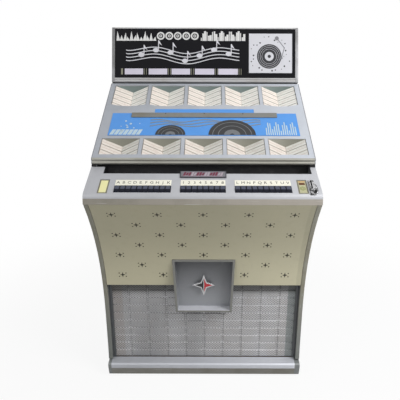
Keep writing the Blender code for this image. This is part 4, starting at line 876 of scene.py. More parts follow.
def dressed(node, finishes, width, pick=None, smooth=SMOOTH_ANGLE, cuts=()):
    """A copy that stands for a CAD node, its edges softened by a width.

    pick gives the index of each face's finish, and cuts are the X of the seams between them.
    """
    shape = merged_copy(node)
    for x in cuts:
        everything = [*shape.verts, *shape.edges, *shape.faces]
        bmesh.ops.bisect_plane(shape, geom=everything, plane_co=(x, 0, 0), plane_no=(1, 0, 0))
    if width:
        soften(shape, width)
    if pick:
        shape.normal_update()
        for face in shape.faces:
            face.material_index = int(pick(face))
    body = frame["nodes"][node]["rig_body"]
    add_piece(node + "_dress", shape, finishes, body, [node], smooth)


def coat_node(node, finish):
    """Gives a CAD node that shows as it is its finish."""
    thing = frame["nodes"][node]
    thing.data.materials.clear()
    thing.data.materials.append(finish)


def screw(shape, matrix, radius):
    """Adds a tapered screw head with its slot, standing on a plane."""
    head = radius * 0.45
    bmesh.ops.create_cone(
        shape,
        cap_ends=True,
        segments=20,
        radius1=radius,
        radius2=radius * 0.72,
        depth=head,
        matrix=matrix @ Matrix.Translation((0, 0, head / 2)),
    )
    low = (-radius * 0.6, -radius * 0.09, 0)
    high = (radius * 0.6, radius * 0.09, radius * 0.06)
    block(shape, low, high, matrix @ Matrix.Translation((0, 0, head)))


class DressCabinet(bpy.types.Operator):
    """Side boards, edge trims, base moulding, front panel and back door"""

    bl_idname = "jukebox.cabinet"
    bl_label = "Cabinet"

    def execute(self, context):
        colours, sizes = context.scene.jukebox_colours, context.scene.jukebox_sizes
        side = laminate("side_laminate", colours.side)
        stain, grey = (0.20, 0.18, 0.12, 1), (0.17, 0.18, 0.175, 1)
        # Painted light: giving a foot also tones the upright trims lighter towards the right.
        trim = brushed_metal("trim_metal", colours.trim, "z", stain, foot=grey)
        banding = plastic("edge_banding", BLACK, 0.45, shine=0.2)
        for name in ("left_side_panel", "right_side_panel"):
            dressed(name, [side, banding], BOARD_EDGE, pick=is_board_edge)
        for name in ("left_edge_trim", "right_edge_trim"):
            dressed(name, trim, 0, smooth=50)
        # Painted light: the base is toned lighter towards the right.
        satin = satin_metal("base_metal", (0.56, 0.575, 0.62, 1), ends=(0.88, 1.10))
        block_metal = satin_metal("base_end_metal", (0.215, 0.225, 0.225, 1))
        # Painted shade: the base's downward-facing kick takes a darker metal.
        kick = brushed_metal("kick_metal_painted_shade", (0.23, 0.225, 0.205, 1), "x", (0.17, 0.155, 0.12, 1))
        parts, slot = [satin, block_metal, kick], "satin_aluminium"
        dressed("base_moulding", parts, sizes.edge, pick=base_part, cuts=BASE_SEAMS)
        self.reveals()
        cream = cream_paint("cream_paint", colours.cream)
        dressed("front_panel", cream, BOARD_EDGE, smooth=50)
        door = laminate("door_laminate", colours.side)
        dressed("back_door", door, BOARD_EDGE)
        self.door_fittings()
        return {"FINISHED"}

    def door_fittings(self):
        """Countersunk screws round the back door and its flush lock."""
        low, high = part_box("back_door")
        behind = Matrix.Translation((0, high.y, 0)) @ Matrix.Rotation(-math.pi / 2, 4, "X")
        heads, slots = bmesh.new(), bmesh.new()

        def cut(x, z, width, height):
            """Adds a dark bar in the middle of a head."""
            low_corner = (x - width / 2, -z - height / 2, 0)
            block(slots, low_corner, (x + width / 2, -z + height / 2, FLUSH * 1.4), behind)

        inset, slot_length, slot_width = 0.014, 0.0072, 0.0012
        heights = spread(low.z + 0.03, high.z - 0.03, 5)
        places = [(side * (high.x - inset), z) for side in (-1, 1) for z in heights]
        places += [(0, low.z + inset), (0, high.z - inset)]
        for x, z in places:
            disc(heads, 0.0048, x, -z, FLUSH, behind, 20)
            cut(x, z, slot_length, slot_width)
            cut(x, z, slot_width, slot_length)
        lock_x, lock_z = 0.30, (low.z + high.z) / 2
        disc(heads, 0.0130, lock_x, -lock_z, FLUSH, behind, 32)
        cut(lock_x, lock_z, 0.003, 0.011)
        add_print("back_door_screws", heads, zinc_plate("screw_zinc"))
        dark = plastic("screw_slot", (0.02, 0.02, 0.02, 1), 0.5)
        add_piece("back_door_screw_slots", slots, dark)

    def reveals(self):
        """Narrow dark strips between the grille and the side boards."""
        shape = bmesh.new()
        low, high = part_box("speaker_grille")
        front = low.y - REVEAL_DEPTH
        head = PANEL_BOTTOM_HEIGHT - 0.001
        for side in (-1, 1):
            x_low, x_high = sorted((side * (high.x - REVEAL_WIDTH), side * high.x))
            block(shape, (x_low, front, low.z + 0.001), (x_high, low.y + 0.001, head))
        soften(shape, 0.0006, 1)
        middle = Matrix.Translation((high.x - REVEAL_WIDTH / 2, 0, 0))
        screw(shape, plane(front - FRONT_Y, low.z + 0.012, math.pi / 2) @ middle, 0.0034)
        steel = satin_metal("reveal_steel", (0.095, 0.10, 0.105, 1), 0.4, roughness=(0.34, 0.48))
        add_piece("grille_reveals", shape, steel)


def is_board_edge(face):
    """Whether a face is on the edge of a side board."""
    return abs(face.normal.x) < 0.5


def base_part(face):
    """Which part of the base moulding a face is: its length, its end blocks or its kick, whose
    downward faces take a darker metal as painted shade.
    """
    middle = face.calc_center_median()
    if not BASE_SEAMS[0] < middle.x < BASE_SEAMS[1]:
        return 1
    return 2 if face.normal.z < -0.05 else 0


class DressMotifs(bpy.types.Operator):
    """Small stars printed in offset rows on the front panel"""

    bl_idname = "jukebox.motifs"
    bl_label = "Front motifs"

    def execute(self, context):
        colours, sizes = context.scene.jukebox_colours, context.scene.jukebox_sizes
        shape = bmesh.new()
        star = star_outline(sizes.motif / 2, sizes.motif * 0.17, squeeze=0.8)
        radius, across, up = sizes.motif * 0.10, sizes.motif * 0.50, sizes.motif * 0.30
        dots = [(side * across, end * up) for side in (-1, 1) for end in (-1, 1)]
        layer = PAINT_LAYER * 1.4
        for row in range(MOTIF_ROWS):
            height = LIP_BOTTOM_HEIGHT - MOTIF_SETDOWN - row * sizes.motif_row
            count = MOTIF_COLUMNS - row % 2
            for step in spread(-(count - 1) / 2, (count - 1) / 2, count):
                x = step * sizes.motif_pitch
                beside = abs(x) - BOX_HALF_WIDTH
                if beside < MOTIF_CLEARANCE and height < BOX_TOP_HEIGHT + MOTIF_CLEARANCE:
                    continue
                matrix = front_plane(height) @ Matrix.Translation((x, 0, -PAINT_LAYER))
                prism(shape, star, layer, matrix)
                for dot in dots:
                    disc(shape, radius, *dot, layer, matrix, 8)
        ink = plain_print("motif_ink", colours.motif, 0.4)
        add_print("front_motifs", shape, ink)
        return {"FINISHED"}


class DressEmblem(bpy.types.Operator):
    """Emblem box and its enamelled star"""

    bl_idname = "jukebox.emblem"
    bl_label = "Emblem"

    def execute(self, context):
        colours, sizes = context.scene.jukebox_colours, context.scene.jukebox_sizes
        tray = tray_metal("box_metal", colours.box)
        rim = satin_metal("box_rim_metal", (0.205, 0.205, 0.190, 1), 0.2, roughness=(0.34, 0.46))
        # Painted light: the box's upward ledge is a much lighter copy of its metal, as if lit from
        # above.
        ledge = satin_metal("ledge_metal_painted_light", (0.70, 0.71, 0.76, 1), 0.2, roughness=(0.30, 0.42))
        dressed("emblem_box", [tray, rim, ledge], sizes.edge, pick=box_part)
        dressed("emblem", chrome("emblem_chrome"), 0.0008)
        low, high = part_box("emblem")
        middle = (low.z + high.z) / 2
        front = plane(low.y - FRONT_Y, middle, math.pi / 2)
        reach = (high.z - low.z) / 2
        for name, side, colour in (
            ("left", -1, (0.012, 0.012, 0.014, 1)),
            ("right", 1, colours.enamel),
        ):
            shape = bmesh.new()
            outline = star_outline(reach * 0.74, reach * 0.26)
            half = [(x, y) for x, y in outline if x * side > 0.0005]
            upper, lower = [(side * reach * 0.03, end * reach * 0.66) for end in (1, -1)]
            ordered = [upper, *sorted(half, key=lambda point: -point[1]), lower]
            prism(shape, ordered, 0.0009, front @ Matrix.Translation((0, 0, -SINK)))
            soften(shape, 0.0003)
            enamel = plain_print(name + "_enamel_colour", colour, 0.12, coat=0.6)
            add_piece(name + "_enamel", shape, enamel)
        return {"FINISHED"}


def box_part(face):
    """Which part of the emblem box a face is: its tray, its rim or its lower ledge, which takes a
    much lighter metal as painted light.
    """
    middle = face.calc_center_median()
    if face.normal.z > 0.5 and middle.z < BOX_TOP_HEIGHT - 0.05:
        return 2
    return face.normal.y < -0.6 and middle.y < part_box("emblem_box")[0].y + 0.012


def tray_metal(name, colour):
    """Painted metal with scuffs, toned lighter towards the bottom of the tray and darker at its
    top, as painted light and shade.
    """
    finish = Finish(name, colour, 0.4, 0.2)
    low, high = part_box("emblem_box")
    _, _, z = finish.axes()
    clouds = finish.noise(7, 4)
    scuffs = finish.noise(60, 4, (1, 1, 0.3), (0, 0.6, 0)).ramp(0.60, 0.72)
    # Painted light and shade: lighter low in the tray, darker at its top.
    painted_light_ramp = (z + clouds * 0.05).ramp(low.z + 0.03, high.z + 0.01, 1.9, 0.72)
    grain = finish.noise(900, 1)
    tone = painted_light_ramp * (0.90 + clouds * 0.1 + grain * 0.1) + scuffs * 0.10
    return finish.wear(
        colour=finish.shade(finish.colour, tone),
        roughness=0.36 + clouds * 0.1 + grain * 0.05,
        normal=finish.bump(grain, 0.00012, 0.6),
    )


class DressGrille(bpy.types.Operator):
    """Speaker grille"""

    bl_idname = "jukebox.grille"
    bl_label = "Speaker grille"

    def execute(self, context):
        metal = grille_mesh("grille_metal", context.scene.jukebox_colours.mesh)
        dressed("speaker_grille", metal, 0, smooth=12)
        return {"FINISHED"}


class DressDeck(bpy.types.Operator):
    """Key deck with its lip, trough, windows, labels, price plate and coin entry"""

    bl_idname = "jukebox.deck"
    bl_label = "Key deck"

    def execute(self, context):
        colours, sizes = context.scene.jukebox_colours, context.scene.jukebox_sizes
        # Painted light: the deck is toned lighter towards the right.
        satin = satin_metal("deck_metal", colours.satin, ends=(0.92, 1.12))
        stain = (0.13, 0.13, 0.10, 1)
        # Painted shade: shaded_end lays more stain colour towards the lip's left end.
        lip = brushed_metal("lip_metal", colours.lip, "x", stain, shaded_end=-HALF_WIDTH)
        dressed("key_deck", [satin, lip], 0.0005, pick=is_lip)
        tray = plastic("trough_plastic", BLACK, 0.5, grain=0.6)
        coat_node("rear_trough", tray)
        # Painted shade: a black strip closes the gap under the lid's front, standing for the shade
        # there.
        shade_strip = bmesh.new()
        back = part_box("rear_trough")[1]
        low = (-SHADE_STRIP_REACH, back.y + 0.0005, back.z - 0.030)
        block(shade_strip, low, (SHADE_STRIP_REACH, back.y + 0.0025, back.z + 0.0165))
        add_piece("trough_shade_strip", shade_strip, tray)
        self.labels(colours, sizes)
        self.windows(colours, sizes)
        self.price_plate()
        self.coin_entry()
        return {"FINISHED"}

    def labels(self, colours, sizes):
        """Cream strips with a plain letter or number over each key."""
        card = plain_print("label_card", colours.label, 0.4)
        ink = plain_print("legend_ink", (0.035, 0.03, 0.025, 1), 0.5)
        top = sizes.card * 1.6
        for keys, centre in KEY_BANKS:
            half = len(keys) * KEY_PITCH / 2
            shape = bmesh.new()
            low = (centre - half, -LABEL_SETDOWN - LABEL_LENGTH, 0)
            block(shape, low, (centre + half, -LABEL_SETDOWN, top), DECK)
            soften(shape, sizes.card / 2)
            add_piece(f"label_strip_{keys[0]}", shape, card)
            letters = bmesh.new()
            for index, legend in enumerate(keys):
                x = centre + (index - (len(keys) - 1) / 2) * KEY_PITCH
                place = Matrix.Translation((x, -LABEL_SETDOWN - LABEL_LENGTH / 2, top))
                add_legend(letters, legend.upper(), LEGEND_SIZE, DECK @ place)
            add_piece(f"legends_{keys[0]}", letters, ink, weighted=False)

    def windows(self, colours, sizes):
        """The card windows at the deck's two ends."""
        frame_ink = plain_print("window_border", (0.20, 0.19, 0.14, 1), 0.4)
        outer = WINDOW_HALF_WIDTH - PAINT_LAYER
        inner = outer - WINDOW_BORDER
        for name, side, colour in (
            ("left", -1, colours.window_card),
            ("right", 1, (0.48, 0.47, 0.29, 1)),
        ):
            x = side * WINDOW_CENTRE
            border = bmesh.new()
            low = (x - outer, -WINDOW_SETDOWN - WINDOW_LENGTH + PAINT_LAYER, -WINDOW_RECESS)
            high = (x + outer, -WINDOW_SETDOWN - PAINT_LAYER, -WINDOW_RECESS + PAINT_LAYER)
            block(border, low, high, DECK)
            add_piece(name + "_window_border", border, frame_ink)
            shape = bmesh.new()
            low = (x - inner, low[1] + WINDOW_BORDER, -WINDOW_RECESS)
            high = (x + inner, high[1] - WINDOW_BORDER, -WINDOW_RECESS + sizes.card)
            block(shape, low, high, DECK)
            soften(shape, sizes.card / 3, 1)
            paper = plain_print(name + "_card", colour, 0.3)
            add_piece(name + "_window_card", shape, paper)
        self.right_card_print(inner, sizes.card)

    def right_card_print(self, reach, card):
        """A brown bar, an orange line and a green mark of two rings on the right card."""
        spot = (WINDOW_CENTRE, -WINDOW_SETDOWN, card - WINDOW_RECESS)
        place = DECK @ Matrix.Translation(spot)
        for name, share, near, far, colour, slot in (
            ("bar", 0.82, 0.0150, 0.0250, (0.11, 0.035, 0.010, 1), "black_plastic"),
            ("line", 0.92, 0.0070, 0.0120, (0.62, 0.36, 0.14, 1), "rack_plastic"),
        ):
            shape = bmesh.new()
            half = reach * share
            block(shape, (-half, -far, 0), (half, -near, PAINT_LAYER), place)
            add_piece("window_card_" + name, shape, plain_print(name + "_ink", colour, 0.4))
        mark = bmesh.new()
        for radius, width in ((0.0105, 0.0030), (0.0055, 0.0024)):
            band(mark, 0, -0.0430, radius, width, PAINT_LAYER, place, 6)
        green = plain_print("mark_ink", (0.30, 0.32, 0.14, 1), 0.4)
        add_piece("window_card_mark", mark, green)

    def price_plate(self):
        """A plate with slanted bars and a rule, in place of lettering, at the deck's rear edge."""
        half, length, face_height, margin = 0.080, 0.034, 0.0015, 0.0035
        plate = DECK @ Matrix.Translation((0, 0.011, 0.0022))
        shape = bmesh.new()
        block(shape, (-half, -length, -0.0020), (half, 0, 0.0012), plate)
        soften(shape, 0.0008)
        dark = plain_print("plate_border", (0.045, 0.045, 0.055, 1), 0.35)
        add_piece("price_plate", shape, dark)
        face = bmesh.new()
        low = (-half + margin, -length + margin, 0)
        block(face, low, (half - margin, -margin, face_height), plate)
        metal = satin_metal("plate_metal", (0.17, 0.165, 0.185, 1), 0.3, roughness=(0.3, 0.4))
        add_piece("price_plate_face", face, metal)
        marks, rules = bmesh.new(), bmesh.new()
        above = plate @ Matrix.Translation((0, -length / 2, face_height))
        lean, wide = length * 0.08, half * 0.042
        for index, x in enumerate(spread(-half * 0.80, half * 0.80, 15)):
            tall = length * (0.30, 0.20, 0.26)[index % 3]
            bar = bar_outline(x - wide - lean, x + wide - lean, -tall, tall, 2 * lean)
            prism(marks if index % 5 < 3 else rules, bar, PAINT_LAYER, above)
        red = plain_print("plate_red", (0.16, 0.02, 0.05, 1), 0.4)
        add_piece("price_plate_marks", marks, red)
        pink = plain_print("plate_pink", (0.40, 0.34, 0.385, 1), 0.4)
        low = (-half * 0.86, -length * 0.36, 0)
        block(rules, low, (half * 0.86, -length * 0.28, PAINT_LAYER), above)
        add_piece("price_plate_rules", rules, pink)

    def coin_entry(self):
        """The chromed coin entry, its return button and its screws."""
        # Painted reflection: dark areas make the coin entry's chrome contrasty.
        bright = chrome("coin_chrome", 0.50, painted_reflection=0.7)
        dressed("coin_entry", bright, 0.0006)
        dressed("coin_return_button", bright, 0.0004)
        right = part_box("coin_entry")[1].x
        shape = bmesh.new()
        for inward, down in ((0.0042, 0.0735), (0.0200, 0.1015)):
            screw(shape, DECK @ Matrix.Translation((right - inward, -down, 0.0040)), 0.0028)
        add_piece("coin_entry_screws", shape, chrome("coin_screw_chrome", 0.6))


def is_lip(face):
    """Whether a face belongs to the deck's upright lip."""
    return face.calc_center_median().z < LIP_TOP_HEIGHT + 0.001 and abs(face.normal.y) > 0.5


def add_legend(shape, text, size, matrix):
    """Adds a character as a thin raised mesh, centred on its place."""
    curve = bpy.data.curves.new("legend", "FONT")
    curve.body = text
    curve.size = size
    curve.align_x = "CENTER"
    curve.align_y = "CENTER"
    curve.extrude = PAINT_LAYER / 2
    curve.resolution_u = 3
    letter = bpy.data.objects.new("legend", curve)
    bpy.context.scene.collection.objects.link(letter)
    bpy.context.view_layer.update()
    ready = letter.evaluated_get(bpy.context.evaluated_depsgraph_get())
    mesh = bpy.data.meshes.new_from_object(ready)
    mesh.transform(matrix)
    shape.from_mesh(mesh)
    bpy.data.objects.remove(letter)
    bpy.data.curves.remove(curve)
    bpy.data.meshes.remove(mesh)


class DressKeys(bpy.types.Operator):
    """Soft-edged caps for the selection keys"""

    bl_idname = "jukebox.keys"
    bl_label = "Selection keys"

    def execute(self, context):
        sizes = context.scene.jukebox_sizes
        black = key_plastic("key_plastic", (0.006, 0.007, 0.014, 1))
        for keys, _ in KEY_BANKS:
            for key in keys:
                dressed("key_" + key, black, sizes.key_edge, smooth=30)
        return {"FINISHED"}


def key_plastic(name, colour):
    """Glossy black, with a painted blue-grey highlight on the rear of each key's top where its dish
    catches the light, and rougher where worn.
    """
    finish = Finish(name, colour, 0.3, specular_ior_level=0.14)
    x, y, z = finish.axes()
    outer = abs(x) > LETTER_BANK_CENTRE / 2
    across = abs((abs(x) - outer * LETTER_BANK_CENTRE).wrap(0, KEY_PITCH) - KEY_PITCH / 2)
    rear, slope = DECK.translation, DECK.to_euler().x
    down = (rear.y - y) * math.cos(slope) + (rear.z - z) * math.sin(slope) - KEY_SETDOWN
    above_crest = down.ramp(KEY_CREST - 0.001, KEY_CREST + 0.001, 1.0, 0.0)
    # Painted highlight: a blue-grey patch on each key's top above its crest.
    painted_highlight_pad = across.ramp(0.0064, 0.0082, 1.0, 0.0) * above_crest
    wear_and_highlight_noise = finish.noise(300, 3)
    return finish.wear(
        colour=finish.mix(painted_highlight_pad * (0.45 + wear_and_highlight_noise * 0.55), finish.colour, (0.105, 0.118, 0.165, 1)),
        roughness=0.30 + wear_and_highlight_noise * 0.16,
    )


class DressLid(bpy.types.Operator):
    """Lid, title racks, title strips and the bar over the picture"""

    bl_idname = "jukebox.lid"
    bl_label = "Lid"

    def execute(self, context):
        colours, sizes = context.scene.jukebox_colours, context.scene.jukebox_sizes
        # Painted light: the lid is toned lighter towards the right.
        satin = satin_metal("lid_metal", colours.lid, ends=(0.84, 1.18))
        ribs = brushed_metal("rib_metal", (0.37, 0.365, 0.325, 1), "x", (0.24, 0.23, 0.19, 1))
        flange = satin_metal("flange_metal", (0.16, 0.165, 0.185, 1))
        parts = [satin, ribs, flange]
        half = HALF_WIDTH - LID_FLANGE
        dressed("lid_frame", parts, 0, pick=lid_part, cuts=(-half, half))
        for name, colour in (
            ("upper", (0.205, 0.255, 0.24, 1)),
            ("lower", (0.27, 0.265, 0.215, 1)),
        ):
            rack = plastic(name + "_rack", colour, 0.5)
            dressed(name + "_title_rack", rack, 0)
        self.strips("upper", UPPER_BANK, colours, sizes)
        self.strips("lower", LOWER_BANK, colours, sizes)
        bar = bmesh.new()
        low = (-BAR_HALF_WIDTH, -ART_START - BAR_LENGTH, 0)
        block(bar, low, (BAR_HALF_WIDTH, -ART_START, BAR_HEIGHT), LID)
        soften(bar, 0.0012)
        stain = (0.20, 0.18, 0.13, 1)
        metal = brushed_metal("bar_metal", colours.bar, "x", stain, metallic=0.5, roughness=0.4)
        add_piece("picture_bar", bar, metal, "lid")
        screws = bmesh.new()
        for x in (-0.15, 0, 0.15):
            screw(screws, LID @ Matrix.Translation((x, -ART_START - 0.006, BAR_HEIGHT)), 0.0030)
        dull = satin_metal("bar_screw_metal", (0.12, 0.12, 0.11, 1), metallic=0.6)
        add_piece("picture_bar_screws", screws, dull, "lid")
        return {"FINISHED"}

    def strips(self, name, bank, colours, sizes):
        """Two columns of shingled cards on the walls of each V-shaped rack."""
        slope = math.atan2(bank["drop"], BANK_WIDTH / 2)
        near, far = 0.0008, math.hypot(bank["drop"], BANK_WIDTH / 2) - 0.0012
        for column, side, colour in (
            ("left", -1, colours.warm_card),
            ("right", 1, colours.cool_card),
        ):
            shape = bmesh.new()
            layer = shape.loops.layers.uv.new("card")
            for index in range(BANKS):
                x = (index - (BANKS - 1) / 2) * BANK_PITCH
                valley = Matrix.Translation((x, 0, -RACK_TOP - bank["drop"]))
                wall_plane = LID @ valley @ Matrix.Rotation(-side * slope, 4, "Y")
                for row in range(bank["rows"]):
                    rear = -bank["start"] - row * STRIP_PITCH - STRIP_GAP / 2
                    front = rear - STRIP_PITCH + STRIP_GAP
                    add_card(shape, layer, (near, front, far, rear), side, wall_plane, sizes)
            aged = [channel * bank["fade"] for channel in colour[:3]]
            paper = paper_card(f"{column}_{name}_paper", (*aged, 1))
            title = f"{name}_titles_{column}"
            add_piece(title, shape, paper, "lid", weighted=False)


def lid_part(face):
    """Which part of the lid a face is: its top, the ribs of its front edge or its side flanges."""
    middle = face.calc_center_median()
    if abs(middle.x) > HALF_WIDTH - LID_FLANGE:
        return 2
    return middle.y < FRONT_Y + LID_FRONT_SETBACK + 0.004


def add_card(shape, layer, extent, side, matrix, sizes):
    """Adds one title card, its front edge raised, with its own print coordinates."""
    near, front, far, rear = extent
    low_x, high_x = sorted((side * near, side * far))
    lift = math.atan2(sizes.card_rise, rear - front)
    height = sizes.card_rise / 2 + sizes.card / 2
    low = (low_x, front, height)
    high = (high_x, rear, height + sizes.card)
    verts = block(shape, low, high, matrix, Matrix.Rotation(-lift, 4, "X"))
    back = matrix.inverted()
    for face in {face for vert in verts for face in vert.link_faces}:
        for loop in face.loops:
            spot = back @ loop.vert.co
            across = (spot.x - low_x) / (high_x - low_x)
            loop[layer].uv = (across, (spot.y - front) / (rear - front))


class DressPicture(bpy.types.Operator):
    """Blue picture panel on the lid with abstract shapes"""

    bl_idname = "jukebox.picture"
    bl_label = "Lid picture"

    def execute(self, context):
        colours = context.scene.jukebox_colours
        ground = plain_print("picture_ground", colours.picture, 0.30)
        dressed("art_panel", ground, 0.0006)
        low = -ART_START - ART_LENGTH + 0.002
        self.pale_shapes(low)
        self.waves(low)
        black = plain_print("picture_black", (0.025, 0.026, 0.028, 1), 0.3)
        grey = plain_print("picture_grey", (0.16, 0.17, 0.18, 1), 0.3)
        self.half_record("large", 0.105, low, 0.088, black, grey)
        self.half_record("small", -0.125, low, 0.056, black, grey)
        return {"FINISHED"}

    def pale_shapes(self, low):
        """Upright bars at the right, and a spiral of dots over slanted bars at the left."""
        shape = bmesh.new()
        for index in range(15):
            x = 0.232 + index * 0.0078
            reach = 0.020 + 0.055 * abs(math.sin(index * 0.83 + 0.4))
            prism(shape, bar_outline(x, x + 0.0042, low, low + reach), PAINT_LAYER, LID)
        for index in range(9):
            angle, reach = 2.4 * index, 0.006 * index
            radius = 0.0022 + 0.0009 * (index % 4)
            x, y = -0.290 + reach * math.cos(angle), low + 0.052 + reach * 0.8 * math.sin(angle)
            disc(shape, radius, x, y, PAINT_LAYER, LID, 16)
        for index in range(7):
            x = -0.352 + index * 0.0165
            prism(shape, bar_outline(x, x + 0.0135, low, low + 0.030, 0.0100), PAINT_LAYER, LID)
        pale = plain_print("picture_white", (0.50, 0.64, 0.72, 1), 0.3)
        add_print("picture_pale_shapes", shape, pale, "lid")

    def waves(self, low):
        """Three wavy lines behind the half records."""
        shape = bmesh.new()
        for line in range(3):
            middle = low + 0.056 + line * 0.013
            points = []
            for x in spread(-0.205, 0.215, 60):
                points.append((x, middle + 0.008 * math.sin(x * 34 + line * 0.7)))
            prism(shape, ribbon_outline(points, 0.0050), PAINT_LAYER, LID)
        pewter = plain_print("picture_pewter", (0.22, 0.245, 0.25, 1), 0.3)
        add_print("picture_waves", shape, pewter, "lid")

    def half_record(self, size, centre_x, centre_y, radius, black, grey):
        """A half record that rises from the picture's lower edge."""
        turns = spread(0, math.pi, 40)
        for name, outer, inner, finish, rise in (
            ("disc", 1.0, 0.0, black, 2.0),
            ("groove_outer", 0.84, 0.81, grey, 2.6),
            ("groove_inner", 0.60, 0.57, grey, 2.6),
            ("label", 0.34, 0.09, grey, 2.6),
        ):
            shape = bmesh.new()
            line = [(math.cos(turn) * outer, math.sin(turn) * outer) for turn in turns]
            if inner:
                line += [(math.cos(turn) * inner, math.sin(turn) * inner) for turn in turns[::-1]]
            outline = [(centre_x + radius * x, centre_y + radius * y) for x, y in line]
            prism(shape, outline, PAINT_LAYER * rise, LID)
            piece = f"picture_{size}_{name}"
            add_print(piece, shape, finish, "lid")


